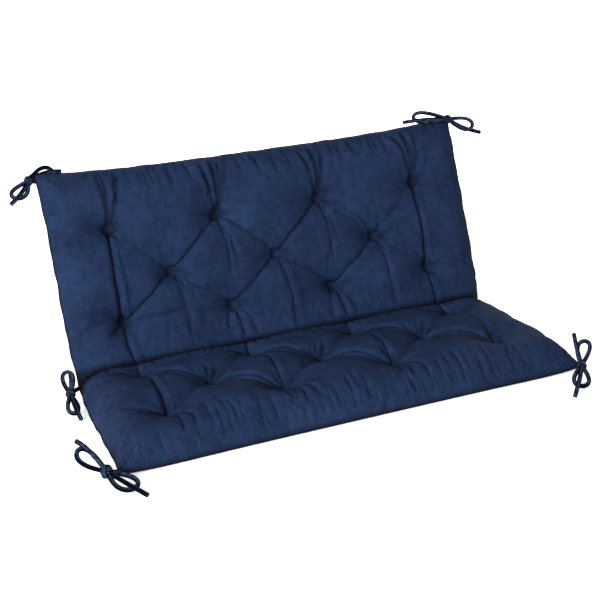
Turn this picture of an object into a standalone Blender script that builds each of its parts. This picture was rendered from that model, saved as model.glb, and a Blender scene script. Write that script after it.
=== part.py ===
"""Tufted bench cushion: a seat and a back of one padded length, folded where they meet.

Metres, +Z up, +X along the bench, -Y to the front of the seat. The origin is on the
surface that the seat lies on, under the middle of the cushion. The cushion is one
filled solid. At its four corners and at both ends of the fold, a pair of sewn-on
straps is tied in a bow.
"""

import math

import bmesh
import bpy
import numpy as np
from mathutils import Vector

# Cushion
WIDTH = 1.202
SEAT_DEPTH = 0.478
BACK_LENGTH = 0.562
RECLINE = math.radians(20.1)
FOLD_Y = 0.1413
SEAM_HEIGHT = 0.016
FOLD_RADIUS = 0.028

# Filling: how far each face stands off the plane of the edge seam
SEAT_CROWN = 0.069
BACK_CROWN = 0.047
REAR_CROWN = 0.041
SIDE_ROUND = 0.100
UNDERSIDE_ROUND = 0.040
ROUND_POWER = 2.3
SEAM_THICKNESS = 0.004

# Drawn-in edges and the seam's dip between the lifted corners of the seat
TOP_DRAW = 0.018
LEFT_DRAW = 0.007
RIGHT_DRAW = 0.000
FOLD_DRAW = 0.012
FOLD_DRAW_SPREAD = 0.080
SEAM_DIP = 0.011
FRONT_FLARE = 0.012
CORNER_LIFT = 0.005
CORNER_POWER = 14

# Groove of the fold
GROOVE_FLOOR = 0.022
GROOVE_REACH = 0.054

# Tufts: rows of four and three by turns, in a diamond pattern
TUFT_PITCH = 0.2963
SEAT_TUFT_HEIGHT = 0.038
BACK_TUFT_HEIGHT = 0.015
REAR_TUFT_DEPTH = 0.026
UNDER_TUFT_DEPTH = 0.010
UNDER_TUFT_FLAT = 0.4
TUFT_SPREAD = 0.036
VALLEY_DEPTH = 0.015
VALLEY_WIDTH = 0.022
SEAT_ROWS = (0.3433, 0.2167, 0.0945)
BACK_ROWS = (0.1506, 0.2688, 0.4037)
ROW_TUFTS = (4, 3, 4)

# Straps and bows
STRAP_RADIUS = 0.0045
KNOT_RADII = (0.013, 0.011, 0.011)
STUB_LENGTH = 0.006
GAP = 0.0004
LOOP_POINTS = 13
LOOP_HALF_ANGLE = math.radians(83)
TAIL_POINTS = 6

# Bows, each from the cushion's middle at the fold: where the knot is, then for each of
# its two straps the reach and the half width of the loop, and the reach and the bend of
# the free end.
BOWS = {
    "tie_back_left": dict(
        corner=(-1, "top"),
        knot=(-0.618, 0.195, 0.533),
        straps=(
            dict(
                loop=(0.068, 0.020, 0.010),
                half=(-0.011, -0.020, 0.023),
                tail=(0.085, -0.002, 0.014),
                bend=(0.000, 0.016, 0.004),
            ),
            dict(
                loop=(-0.042, -0.026, -0.034),
                half=(-0.017, -0.003, 0.008),
                tail=(-0.056, -0.034, -0.046),
                bend=(0.003, 0.000, -0.003),
            ),
        ),
    ),
    "tie_back_right": dict(
        corner=(1, "top"),
        knot=(0.600, 0.170, 0.556),
        straps=(
            dict(
                loop=(-0.106, 0.012, 0.007),
                half=(0.003, 0.005, 0.012),
                tail=(-0.140, 0.006, -0.004),
                bend=(0.000, 0.000, 0.004),
            ),
            dict(
                loop=(0.068, -0.003, -0.042),
                half=(0.010, 0.006, 0.012),
                tail=(0.088, -0.010, -0.058),
                bend=(-0.002, 0.000, -0.005),
            ),
        ),
    ),
    "tie_fold_left": dict(
        corner=(-1, "fold"),
        knot=(-0.622, -0.051, 0.030),
        straps=(
            dict(
                loop=(0.003, 0.046, 0.045),
                half=(-0.014, 0.002, 0.000),
                tail=(0.004, 0.060, 0.050),
                bend=(0.004, 0.000, 0.004),
            ),
            dict(
                loop=(-0.006, -0.068, -0.0235),
                half=(-0.015, 0.006, 0.000),
                tail=(0.001, -0.106, -0.0245),
                bend=(0.004, 0.000, 0.004),
            ),
        ),
    ),
    "tie_fold_right": dict(
        corner=(1, "fold"),
        knot=(0.590, 0.052, 0.025),
        straps=(
            dict(
                loop=(-0.070, 0.052, -0.0185),
                half=(0.010, 0.014, 0.000),
                tail=(-0.100, 0.042, -0.0195),
                bend=(0.000, 0.004, 0.005),
            ),
            dict(
                loop=(-0.016, 0.078, -0.0185),
                half=(0.015, 0.002, 0.000),
                tail=(-0.040, 0.104, -0.0195),
                bend=(0.004, 0.000, 0.005),
            ),
        ),
    ),
    "tie_seat_left": dict(
        corner=(-1, "front"),
        knot=(-0.632, -0.507, 0.035),
        straps=(
            dict(
                loop=(-0.046, 0.076, 0.025),
                half=(-0.012, -0.020, -0.003),
                tail=(-0.042, 0.096, 0.040),
                bend=(-0.002, 0.000, 0.005),
            ),
            dict(
                loop=(0.048, -0.050, -0.0285),
                half=(0.020, 0.014, 0.000),
                tail=(0.065, -0.093, -0.0295),
                bend=(0.004, 0.000, 0.006),
            ),
        ),
    ),
    "tie_seat_right": dict(
        corner=(1, "front"),
        knot=(0.598, -0.520, 0.032),
        straps=(
            dict(
                loop=(0.050, 0.060, 0.035),
                half=(-0.014, 0.007, 0.000),
                tail=(0.034, 0.084, 0.048),
                bend=(-0.003, 0.000, 0.005),
            ),
            dict(
                loop=(-0.042, -0.060, -0.0255),
                half=(-0.014, 0.012, 0.000),
                tail=(-0.087, -0.098, -0.0265),
                bend=(0.004, 0.000, 0.006),
            ),
        ),
    ),
}


def clear_scene():
    for obj in list(bpy.data.objects):
        bpy.data.objects.remove(obj, do_unlink=True)


def new_collection(name):
    collection = bpy.data.collections.new(name)
    bpy.context.scene.collection.children.link(collection)
    return collection


def material(name, colour, roughness):
    """A cloth material of one colour."""
    made = bpy.data.materials.new(name)
    made.use_nodes = True
    shader = made.node_tree.nodes["Principled BSDF"]
    shader.inputs["Base Color"].default_value = (*colour, 1.0)
    shader.inputs["Roughness"].default_value = roughness
    shader.inputs["Metallic"].default_value = 0.0
    return made


def add_object(name, bm, collection, finish=None):
    mesh = bpy.data.meshes.new(name)
    bm.to_mesh(mesh)
    bm.free()
    mesh.shade_smooth()
    obj = bpy.data.objects.new(name, mesh)
    if finish:
        mesh.materials.append(finish)
    collection.objects.link(obj)
    return obj


def smooth(t):
    """0 below 0, 1 above 1 and an S curve between."""
    t = min(max(t, 0.0), 1.0)
    return t * t * (3.0 - 2.0 * t)


def quarter_round(distance, reach):
    """The height of a full quarter round: 0 at the edge, 1 from `reach` inwards."""
    t = min(max(distance / reach, 0.0), 1.0)
    return math.sqrt(1.0 - (1.0 - t) ** ROUND_POWER)


# The cushion's length is measured by s: below 0 on the seat, 0 at the fold, above 0 on
# the back. Its spine is straight on both sides of a short arc.
TURN = math.pi / 2 - RECLINE
ARC_HALF = FOLD_RADIUS * TURN / 2
FOLD_REACH = FOLD_RADIUS * math.tan(TURN / 2)


def spine(s):
    """The spine's point (y, z) and the direction that its inner face looks in."""
    if s < -ARC_HALF:
        return s + ARC_HALF - FOLD_REACH, SEAM_HEIGHT, 0.0, 1.0
    if s > ARC_HALF:
        along = s - ARC_HALF + FOLD_REACH
        y, z = along * math.cos(TURN), SEAM_HEIGHT + along * math.sin(TURN)
        return y, z, -math.sin(TURN), math.cos(TURN)
    angle = (s + ARC_HALF) / FOLD_RADIUS
    y = -FOLD_REACH + FOLD_RADIUS * math.sin(angle)
    z = SEAM_HEIGHT + FOLD_RADIUS * (1.0 - math.cos(angle))
    return y, z, -math.sin(angle), math.cos(angle)


def from_fold(s):
    """Distance from the fold measured along the straight panel, as on the flat cloth."""
    return max(abs(s) - ARC_HALF, 0.0) + FOLD_REACH if abs(s) > ARC_HALF else abs(s)


def tuft_rows():
    """(s, x positions) of each row, from the front of the seat to the top of the back."""
    stations = [-(row - FOLD_REACH + ARC_HALF) for row in SEAT_ROWS]
    stations += [row - FOLD_REACH + ARC_HALF for row in BACK_ROWS]
    for s, count in zip(stations, ROW_TUFTS * 2):
        yield s, [(i - (count - 1) / 2) * TUFT_PITCH for i in range(count)]


def tufts():
    return [(x, s) for s, columns in tuft_rows() for x in columns]


def valleys():
    """The diagonal runs between neighbouring tufts of one panel."""
    rows = list(tuft_rows())
    runs = []
    for panel in (rows[:3], rows[3:]):
        for (s_a, row_a), (s_b, row_b) in zip(panel, panel[1:]):
            runs += [
                ((x_a, s_a), (x_b, s_b))
                for x_a in row_a
                for x_b in row_b
                if abs(x_a - x_b) < 0.6 * TUFT_PITCH
            ]
    return runs


TUFTS = tufts()
VALLEYS = valleys()


def tuft_pull(x, s):
    """1 at a tuft, falling off as the cloth funnels out of it."""
    nearest = min(math.hypot(x - tuft_x, s - tuft_s) for tuft_x, tuft_s in TUFTS)
    return math.exp(-nearest / TUFT_SPREAD)


def valley_pull(x, s):
    """1 on the line between two neighbouring tufts, 0 a little beside it."""
    nearest = 1.0
    for (x_a, s_a), (x_b, s_b) in VALLEYS:
        run_x, run_s = x_b - x_a, s_b - s_a
        share = ((x - x_a) * run_x + (s - s_a) * run_s) / (run_x**2 + run_s**2)
        share = min(max(share, 0.0), 1.0)
        nearest = min(nearest, math.hypot(x - x_a - share * run_x, s - s_a - share * run_s))
    return math.exp(-((nearest / VALLEY_WIDTH) ** 2))


def half_width(side, s):
    """From the middle to the left (-1) or right (1) seam, which bows between its ends."""
    panel = SEAT_DEPTH if s < 0 else BACK_LENGTH
    across = min(abs(s) / panel, 1.0)
    drawn = LEFT_DRAW if side < 0 else RIGHT_DRAW
    drawn *= 1.0 - abs(2.0 * across - 1.0) ** 4
    at_fold = FOLD_DRAW * math.exp(-((s / FOLD_DRAW_SPREAD) ** 2))
    return WIDTH / 2 - drawn - at_fold


def end_of(u, s):
    """s with the back's top edge drawn in between its corners, and the seat's flared."""
    if s < 0:
        return s * (1.0 + FRONT_FLARE / SEAT_DEPTH * abs(u) ** 4 * (s / SEAT_DEPTH) ** 2)
    drawn = TOP_DRAW * (1.0 - abs(u) ** 3.5)
    return s * (1.0 - drawn / BACK_LENGTH)


def seam_level(u, s):
    """The seat's seam against its plane: sunk between the corners, lifted at the front two."""
    if s >= 0:
        return 0.0
    share = min(-s / SEAT_DEPTH, 1.0)
    corner = abs(u) ** CORNER_POWER
    along_side = 1.0 - abs(2.0 * share - 1.0) ** 3
    dip = SEAM_DIP * max((1.0 - corner) * smooth(share * 3.0), along_side)
    return CORNER_LIFT * corner * share**CORNER_POWER - dip


def crown(s):
    """The inner face's full height, from the seat's to the back's."""
    return SEAT_CROWN + (BACK_CROWN - SEAT_CROWN) * smooth((s - 0.03) / 0.12)


def edge_distances(x, s):
    to_side = half_width(x, s) - abs(x)
    to_end = SEAT_DEPTH + s if s < 0 else BACK_LENGTH - s
    return max(to_side, 0.0), max(to_end, 0.0)


def cushion_point(u, s, inner):
    """The place of the point at share u of the half width and at s along the length."""
    x = u * half_width(u, s)
    on_seat = s < 0
    to_side, to_end = edge_distances(x, s)
    rounding = quarter_round(to_side, SIDE_ROUND) * quarter_round(to_end, SIDE_ROUND)
    seam = seam_level(u, s)
    half_seam = SEAM_THICKNESS / 2
    if inner:
        full = crown(s)
        tuft = SEAT_TUFT_HEIGHT if on_seat else BACK_TUFT_HEIGHT
        height = seam + half_seam + (full - seam - half_seam) * rounding
        height -= (full - tuft) * tuft_pull(x, s) * rounding
        height -= VALLEY_DEPTH * valley_pull(x, s) * (1.0 - tuft_pull(x, s))
        groove = smooth((from_fold(s) - FOLD_REACH) / (GROOVE_REACH - FOLD_REACH))
        floor = min(GROOVE_FLOOR, height)
        height = floor + (height - floor) * groove
    elif on_seat:
        settled = quarter_round(min(to_side, to_end), UNDERSIDE_ROUND)
        lift = UNDER_TUFT_DEPTH * max(tuft_pull(x, s) - UNDER_TUFT_FLAT, 0.0)
        height = seam - half_seam - (SEAM_HEIGHT + seam - half_seam) * settled
        height = max(height, -SEAM_HEIGHT) + lift * settled
    else:
        full = SEAM_HEIGHT + (REAR_CROWN - SEAM_HEIGHT) * smooth(s / 0.10)
        height = -half_seam - (full - half_seam) * rounding
        height += REAR_TUFT_DEPTH * tuft_pull(x, s) * rounding
        height += VALLEY_DEPTH * valley_pull(x, s) * (1.0 - tuft_pull(x, s))
    y, z, normal_y, normal_z = spine(end_of(u, s))
    return Vector((x, FOLD_Y + y + height * normal_y, z + height * normal_z))


def stations(stops, cells):
    """Grid lines through all stops, with the given number of cells between each two."""
    lines = [stops[0]]
    for start, stop, count in zip(stops, stops[1:], cells):
        lines += [start + (stop - start) * (i + 1) / count for i in range(count)]
    return lines


def crowded(start, stop, cells):
    """Grid lines from start to stop that crowd towards stop, where the face curves most."""
    return [start + (stop - start) * math.sin(math.pi / 2 * (i + 1) / cells) for i in range(cells)]


def columns():
    """Grid lines across, as shares of the half width: one through each tuft column."""
    half = WIDTH / 2
    marks = [i * TUFT_PITCH / 2 / half for i in range(4)]
    right = stations(marks, (6, 6, 6)) + crowded(marks[-1], 1.0, 7)
    return [-u for u in reversed(right[1:])] + right


def rows():
    """Grid lines along s: one through each tuft row, closer at the fold and the edges."""
    at = [s for s, _ in tuft_rows()]
    reach = GROOVE_REACH - FOLD_REACH + ARC_HALF
    front = [-s for s in crowded(-at[0], SEAT_DEPTH, 7)][::-1]
    seat = stations((at[0], at[1], at[2], -reach, -ARC_HALF, 0.0), (6, 6, 2, 4, 1))
    back = stations((0.0, ARC_HALF, reach, at[3], at[4], at[5]), (1, 4, 4, 6, 6))
    return front + seat + back[1:] + crowded(at[5], BACK_LENGTH, 7)


def split_quads(bm):
    """Cut each face along its lower diagonal, so that the floor of a valley is an edge."""
    for face in list(bm.faces):
        a, b, c, d = face.verts
        rise = (a.co + c.co - b.co - d.co).dot(face.normal)
        bmesh.utils.face_split(face, *((a, c) if rise < 0.0 else (b, d)))


def build_cushion(collection, finish):
    """A flat grid made a slab of two faces, then shaped point by point."""
    u_lines, s_lines = columns(), rows()
    slab = bmesh.new()
    bmesh.ops.create_grid(
        slab, x_segments=len(u_lines) - 1, y_segments=len(s_lines) - 1, size=1.0
    )
    raised = bmesh.ops.extrude_face_region(slab, geom=slab.faces[:])["geom"]
    inner = {v for v in raised if isinstance(v, bmesh.types.BMVert)}
    for vertex in slab.verts:
        column = round((vertex.co.x + 1.0) / 2.0 * (len(u_lines) - 1))
        row = round((vertex.co.y + 1.0) / 2.0 * (len(s_lines) - 1))
        vertex.co = cushion_point(u_lines[column], s_lines[row], vertex in inner)
    bmesh.ops.recalc_face_normals(slab, faces=slab.faces)
    split_quads(slab)
    return add_object("cushion", slab, collection, finish)


def seam_corner(side, place):
    """A tip of the edge seam, at the front, at the fold or at the top, and its way out."""
    s, along = {
        "front": (-SEAT_DEPTH, Vector((0.0, -1.0, 0.0))),
        "fold": (0.0, Vector()),
        "top": (BACK_LENGTH, Vector((0.0, math.cos(TURN), math.sin(TURN)))),
    }[place]
    tip = cushion_point(side, s, True).lerp(cushion_point(side, s, False), 0.5)
    return tip, (Vector((side, 0.0, 0.0)) + along).normalized()


def loop_line(knot, reach, half):
    """One loop of a bow: half of a figure of eight, knot + reach cos a + half sin 2a."""
    angles = np.linspace(-LOOP_HALF_ANGLE, LOOP_HALF_ANGLE, LOOP_POINTS)
    return [knot + reach * math.cos(a) + half * math.sin(2.0 * a) for a in angles]


def tail_line(knot, reach, bend):
    """A strap's free end, bowed by `bend` at its middle."""
    shares = np.linspace(0.0, 1.0, TAIL_POINTS)
    return [knot + reach * t + bend * math.sin(math.pi * t) for t in shares]


def tube(name, points, collection):
    """A round strap along the points, as a closed mesh."""
    curve = bpy.data.curves.new(name, "CURVE")
    curve.dimensions = "3D"
    curve.bevel_depth = STRAP_RADIUS
    curve.bevel_resolution = 2
    curve.use_fill_caps = True
    line = curve.splines.new("POLY")
    line.points.add(len(points) - 1)
    for spot, point in zip(line.points, points):
        spot.co = (*point, 1.0)
    guide = bpy.data.objects.new(name, curve)
    collection.objects.link(guide)
    evaluated = guide.evaluated_get(bpy.context.evaluated_depsgraph_get())
    bm = bmesh.new()
    bm.from_mesh(bpy.data.meshes.new_from_object(evaluated))
    bmesh.ops.remove_doubles(bm, verts=bm.verts, dist=1e-5)
    bmesh.ops.recalc_face_normals(bm, faces=bm.faces)
    bpy.data.objects.remove(guide, do_unlink=True)
    piece = add_object(name, bm, collection)
    piece.hide_render = True
    piece.display_type = "WIRE"
    return piece


def build_bow(name, row, collection, guides, finish):
    """A knot with two loops, two tails and the stub that is sewn to the cushion."""
    fold = Vector((0.0, FOLD_Y, 0.0))
    knot = Vector(row["knot"]) + fold
    ball = bmesh.new()
    bmesh.ops.create_uvsphere(ball, u_segments=12, v_segments=8, radius=1.0)
    for vertex in ball.verts:
        vertex.co = knot + Vector([c * r for c, r in zip(vertex.co, KNOT_RADII)])
    bow = add_object(name, ball, collection, finish)
    tip, outward = seam_corner(*row["corner"])
    lines = [[tip + outward * GAP, tip + outward * STUB_LENGTH, knot]]
    for strap in row["straps"]:
        lines.append(loop_line(knot, Vector(strap["loop"]), Vector(strap["half"])))
        lines.append(tail_line(knot, Vector(strap["tail"]), Vector(strap["bend"])))
    for index, points in enumerate(lines):
        joined = bow.modifiers.new(f"strap_{index}", "BOOLEAN")
        joined.operation = "UNION"
        joined.use_self = True
        joined.object = tube(f"{name}_strap_{index}", points, guides)
    return bow


def main():
    clear_scene()
    product = new_collection("bench_cushion")
    guides = new_collection("bench_cushion_guides")
    guides.hide_render = True
    cloth = material("navy_cloth", (0.018, 0.034, 0.082), 0.9)
    strap = material("navy_strap", (0.030, 0.040, 0.075), 0.9)
    build_cushion(product, cloth)
    for name, row in BOWS.items():
        build_bow(name, row, product, guides, strap)


main()
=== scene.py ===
"""Tufted bench cushion in navy cloth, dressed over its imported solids.

The cushion is one padded form: a seat and a back folded where they meet, tufted in a
diamond pattern, with a knife-edge seam all round. At its four corners and at both ends
of the fold, two sewn-on straps are tied in a bow. Metres, +Z up, -Y to the front.
"""

import logging
import math
from dataclasses import dataclass, field
from enum import Enum
from typing import ClassVar, Iterator, Sequence

import bpy
import numpy as np
from mathutils import Matrix, Vector

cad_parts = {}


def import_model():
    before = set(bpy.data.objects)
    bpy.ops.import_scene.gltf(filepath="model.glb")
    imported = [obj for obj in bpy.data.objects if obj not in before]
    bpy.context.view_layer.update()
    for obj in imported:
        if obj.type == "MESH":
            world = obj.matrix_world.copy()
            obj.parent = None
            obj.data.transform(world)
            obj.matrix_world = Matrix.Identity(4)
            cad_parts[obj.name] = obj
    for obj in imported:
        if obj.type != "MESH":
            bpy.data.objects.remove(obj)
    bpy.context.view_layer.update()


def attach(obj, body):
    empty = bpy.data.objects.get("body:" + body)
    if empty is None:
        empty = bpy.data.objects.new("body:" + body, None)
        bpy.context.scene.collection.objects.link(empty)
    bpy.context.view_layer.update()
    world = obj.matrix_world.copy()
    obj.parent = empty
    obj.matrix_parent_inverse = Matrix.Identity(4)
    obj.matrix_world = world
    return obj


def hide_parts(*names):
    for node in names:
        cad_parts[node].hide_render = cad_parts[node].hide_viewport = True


Array = np.ndarray
Place = tuple[float, float]
Point = tuple[float, float, float]
STRAP_GIRTH = 0.0335
TUBE_SIDES = 16
TUBE_POWER = 2.6
TAPE_END = (0.006, 0.0)
log = logging.getLogger("bench_cushion")


# ---------------------------------------------------------------- small shapes in numpy


def smooth(value: Array, start: float = 0.0, width: float = 1.0) -> Array:
    """0 below start, 1 from width beyond it, and t squared times (3 - 2 t) between."""
    t = np.clip((value - start) / width, 0.0, 1.0)
    return t * t * (3.0 - 2.0 * t)


def bell(distance: Array, width: Array | float) -> Array:
    """The bell curve: e to the power of -(distance / width) squared."""
    return np.exp(-((distance / width) ** 2))


def quarter_round(distance: Array, reach: Array | float, power: float) -> Array:
    """A quarter round: the root of 1 - (1 - distance / reach) to the power."""
    t = np.clip(distance / reach, 0.0, 1.0)
    return np.sqrt(1.0 - (1.0 - t) ** power)


def crowded(start: float, stop: float, cells: int) -> Array:
    """Grid lines after start up to stop that crowd towards stop by a quarter sine."""
    return start + (stop - start) * np.sin(np.pi / 2 * np.arange(1, cells + 1) / cells)


def even(start: float, stop: float, cells: int) -> Array:
    """Grid lines after start up to stop, evenly spaced."""
    return start + (stop - start) * np.arange(1, cells + 1) / cells


def unit(vectors: Array) -> Array:
    """The vectors of the last axis at length 1."""
    return vectors / np.maximum(np.linalg.norm(vectors, axis=-1, keepdims=True), 1e-12)


def waves(x: Array, s: Array, rate: float, phase: float) -> Array:
    """Smooth uneven waves from -1 to 1.

    Args:
        x: the places across.
        s: the places along the cloth.
        rate: their rate, in radians a metre.
        phase: where they start, in radians.

    Returns:
        The mean of three crossed sines of unlike rates.
    """
    first = np.sin(rate * (x + 0.31 * s) + phase)
    second = np.sin(0.73 * rate * (s - 0.47 * x) + 2.9 * phase)
    third = np.sin(1.37 * rate * (0.8 * x - 0.6 * s) + 5.3 * phase)
    return (first + second + third) / 3.0


def ripple(at: Array, rates: Place, phase: Array | float = 0.0) -> Array:
    """A small uneven wave: the sum of two sines of unlike rates."""
    return np.sin(rates[0] * at + phase) + np.sin(rates[1] * at + 1.0)


def off_run(x: Array, s: Array, a: Array, b: Array) -> tuple[Array, Array, Array]:
    """Where places lie beside the straight run from a to b.

    Args:
        x: the places across.
        s: the places along the cloth.
        a: the run's start.
        b: its end.

    Returns:
        The share of the run at its nearest point, and the way from there in x and in s.
    """
    run = b - a
    t = np.clip(((x - a[0]) * run[0] + (s - a[1]) * run[1]) / (run @ run), 0, 1)
    return t, x - a[0] - t * run[0], s - a[1] - t * run[1]


def grid_normals(points: Array) -> Array:
    """Normals of a grid of points: across the columns cross across the rows."""
    return unit(np.cross(np.gradient(points, axis=1), np.gradient(points, axis=0)))


def doubled(values: Array) -> Array:
    """A grid with a line put between each two along its first axis.

    Args:
        values: the grid's lines.

    Returns:
        The lines and the new ones, (9 (b + c) - (a + d)) / 16 of their four neighbours.
    """
    padded = np.concatenate([values[:1], values, values[-1:]])
    between = (9.0 * (padded[1:-2] + padded[2:-1]) - padded[:-3] - padded[3:]) / 16.0
    out = np.empty((2 * len(values) - 1, *values.shape[1:]))
    out[::2] = values
    out[1::2] = between
    return out


def mesh_object(name: str, points: Array, faces: Sequence[Array]) -> bpy.types.Object:
    """A smooth mesh object from points and groups of faces of a like number of corners.

    Args:
        name: the object's name.
        points: one row for each vertex.
        faces: index arrays, one row for each face, corners counter-clockwise from outside.

    Returns:
        The object, at the origin.
    """
    mesh = bpy.data.meshes.new(name)
    corners = np.concatenate([group.ravel() for group in faces]).astype(np.int32)
    sizes = np.concatenate([np.full(len(g), g.shape[1]) for g in faces]).astype(np.int32)
    mesh.vertices.add(len(points))
    mesh.vertices.foreach_set("co", np.asarray(points, np.float32).ravel())
    mesh.loops.add(len(corners))
    mesh.loops.foreach_set("vertex_index", corners)
    mesh.polygons.add(len(sizes))
    starts = np.concatenate([[0], np.cumsum(sizes)[:-1]]).astype(np.int32)
    mesh.polygons.foreach_set("loop_start", starts)
    mesh.update(calc_edges=True)
    mesh.validate()
    mesh.shade_smooth()
    made = bpy.data.objects.new(name, mesh)
    bpy.context.scene.collection.objects.link(made)
    return made


def lay_out(mesh: bpy.types.Mesh, places: Array) -> None:
    """Gives the mesh a UV map in metres from one place on the cloth for each corner."""
    chart = mesh.uv_layers.new(name="cloth")
    chart.data.foreach_set("uv", np.asarray(places, np.float32).ravel())


def mark(mesh: bpy.types.Mesh, name: str, values: Array) -> None:
    """Keeps one number for each vertex on the mesh, for its material."""
    layer = mesh.attributes.new(name=name, type="FLOAT", domain="POINT")
    layer.data.foreach_set("value", np.asarray(values, np.float32))


def quads(rows: int, columns: int) -> Array:
    """Faces of a grid whose vertices are numbered along the columns first.

    Args:
        rows: the grid's number of rows.
        columns: its number of columns.

    Returns:
        The four corners of each face.
    """
    index = np.arange(rows * columns).reshape(rows, columns)
    corners = (index[:-1, :-1], index[:-1, 1:], index[1:, 1:], index[1:, :-1])
    return np.stack(corners, axis=-1).reshape(-1, 4)


def strip(first: Array, second: Array) -> Array:
    """Faces between two closed rings of vertices, the second outside the first."""
    return np.stack([first, second, np.roll(second, -1), np.roll(first, -1)], axis=-1)


def split(points: Array, faces: Array) -> Array:
    """Cuts each four-cornered face along the diagonal whose middle lies deeper.

    A crease that runs corner to corner through the faces then stays one clean line.

    Args:
        points: one row for each vertex.
        faces: the faces, counter-clockwise from outside.

    Returns:
        Two triangles for each face.
    """
    a, b, c, d = (points[faces[:, k]] for k in range(4))
    rise = ((a + c - b - d) * np.cross(c - a, d - b)).sum(-1)
    first, second = faces[:, [0, 1, 2, 0, 2, 3]], faces[:, [0, 1, 3, 1, 2, 3]]
    return np.where(rise[:, None] <= 0.0, first, second).reshape(-1, 3)


def rim(rows: int, columns: int) -> Array:
    """The grid's border vertices in order, counter-clockwise from the first corner.

    Args:
        rows: the grid's number of rows.
        columns: its number of columns.

    Returns:
        Each vertex once.
    """
    index = np.arange(rows * columns).reshape(rows, columns)
    return np.concatenate(
        [index[0, :-1], index[:-1, -1], index[-1, :0:-1], index[:0:-1, 0]]
    )


# ------------------------------------------------------------------- the cushion's form


class Panel(Enum):
    """The two padded panels on the sides of the fold."""

    SEAT = -1
    BACK = 1


@dataclass(frozen=True)
class TuftRow:
    """One row of tufts across a panel, at a distance from the fold."""

    panel: Panel
    from_fold: float
    count: int


@dataclass(frozen=True)
class Relief:
    """One fold's marks on the grid places that it reaches.

    `near` picks the places. There the cloth sinks and rises by so much, and lies in the
    `shadow` of the fold's steep side. It is at `gap` from the fold's line, above 0 on the
    ridge's side, and the fold is `depth` deep alongside.
    """

    near: Array
    sunk: Array
    risen: Array
    shadow: Array
    gap: Array
    depth: Array


@dataclass(frozen=True)
class Marked:
    """All folds together: how far out the cloth moves, and the painted shade and lines that its
    finish shows.
    """

    moved: Array
    painted_shade: Array
    gap: Array
    crease: Array


@dataclass(frozen=True)
class Fold:
    """One crease or gather in the cloth, on a bowed line between two places.

    A place is (x, s): across from the middle, and along the cloth from the fold, below 0
    on the seat. The trough's cross section is `depth` times e to the power of -(distance /
    width) to the `trough_power`. A ridge of `ridge_height` times `shoulder` times the depth
    runs beside it on its left, or on its right where `shoulder` is below 0, and makes the
    trough 1 plus `ridge_side` times `shoulder` times as wide on that side. Half way along,
    only the `middle` share of the depth is left. The ridge's place and width and the
    shadow's widths on the ridge's side and on the steep side are in widths of the fold.
    """

    start: Place
    end: Place
    depth: float
    width: float
    bow: float = 0.0
    shoulder: float = 0.0
    start_width: float = 0.0
    fade: Place = (0.12, 0.12)
    middle: float = 1.0
    reach: ClassVar[float] = 3.2
    trough_power: ClassVar[float] = 1.6
    ridge_height: ClassVar[float] = 0.6
    ridge_side: ClassVar[float] = 0.7
    ridge_at: ClassVar[float] = 1.7
    ridge_width: ClassVar[float] = 0.9
    shadow_widths: ClassVar[Place] = (0.35, 2.2)
    least_fade: ClassVar[float] = 1e-3

    def line(self, count: int = 13) -> Array:
        """The fold's bowed line.

        Args:
            count: how many points.

        Returns:
            Points on the straight run plus bow times 4 t (1 - t) sideways.
        """
        t = np.linspace(0.0, 1.0, count)[:, None]
        start, end = np.array(self.start), np.array(self.end)
        run = end - start
        side = np.array([-run[1], run[0]])
        return start + run * t + side * self.bow * 4.0 * t * (1.0 - t)

    def relief(self, x: Array, s: Array, widen: float) -> Relief:
        """How far this fold moves the cloth in and out.

        Args:
            x: the places across.
            s: the places along the cloth.
            widen: a factor on the fold's width, for a coarser grid.

        Returns:
            The fold's marks at the places that it reaches.
        """
        line = self.line()
        lean, shoulder = math.copysign(1.0, self.shoulder), abs(self.shoulder)
        reach = self.reach * widen * max(self.width, self.start_width) * (1.0 + shoulder)
        low, high = line.min(0) - reach, line.max(0) + reach
        near = (x > low[0]) & (x < high[0]) & (s > low[1]) & (s < high[1])
        x, s = x[near], s[near]
        best = np.full(x.shape, np.inf)
        share, side = np.zeros_like(x), np.zeros_like(x)
        for i, (a, b) in enumerate(zip(line, line[1:])):
            run, (t, dx, ds) = b - a, off_run(x, s, a, b)
            gap = np.hypot(dx, ds)
            closer = gap < best
            best = np.where(closer, gap, best)
            share = np.where(closer, (i + t) / (len(line) - 1), share)
            side = np.where(closer, np.sign(run[0] * ds - run[1] * dx), side)
        width = self.start_width or self.width
        width = (width + (self.width - width) * share) * widen
        fade_in, fade_out = (max(length, self.least_fade) for length in self.fade)
        taper = self.depth * smooth(share, 0.0, fade_in) * smooth(1.0 - share, 0.0, fade_out)
        taper = taper * (self.middle + (1.0 - self.middle) * (2.0 * share - 1.0) ** 2)
        gap = side * lean * best
        broad = width * np.where(gap > 0, 1.0 + self.ridge_side * shoulder, 1.0)
        ridge = bell(gap - self.ridge_at * broad, self.ridge_width * broad)
        risen = self.ridge_height * shoulder * taper * ridge
        sunk = taper * np.exp(-np.abs(best / broad) ** self.trough_power)
        shadow = taper * bell(best, np.where(gap > 0, *self.shadow_widths) * width)
        return Relief(near, sunk, risen, shadow, gap, taper)


@dataclass(frozen=True)
class Swell:
    """A place where the filling stands out: a round bell of so much height and spread."""

    at: Place
    height: float
    spread: float

    def lift(self, x: Array, s: Array) -> Array:
        """The height times the bell of the distance over the spread."""
        return self.height * bell(np.hypot(x - self.at[0], s - self.at[1]), self.spread)


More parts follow.
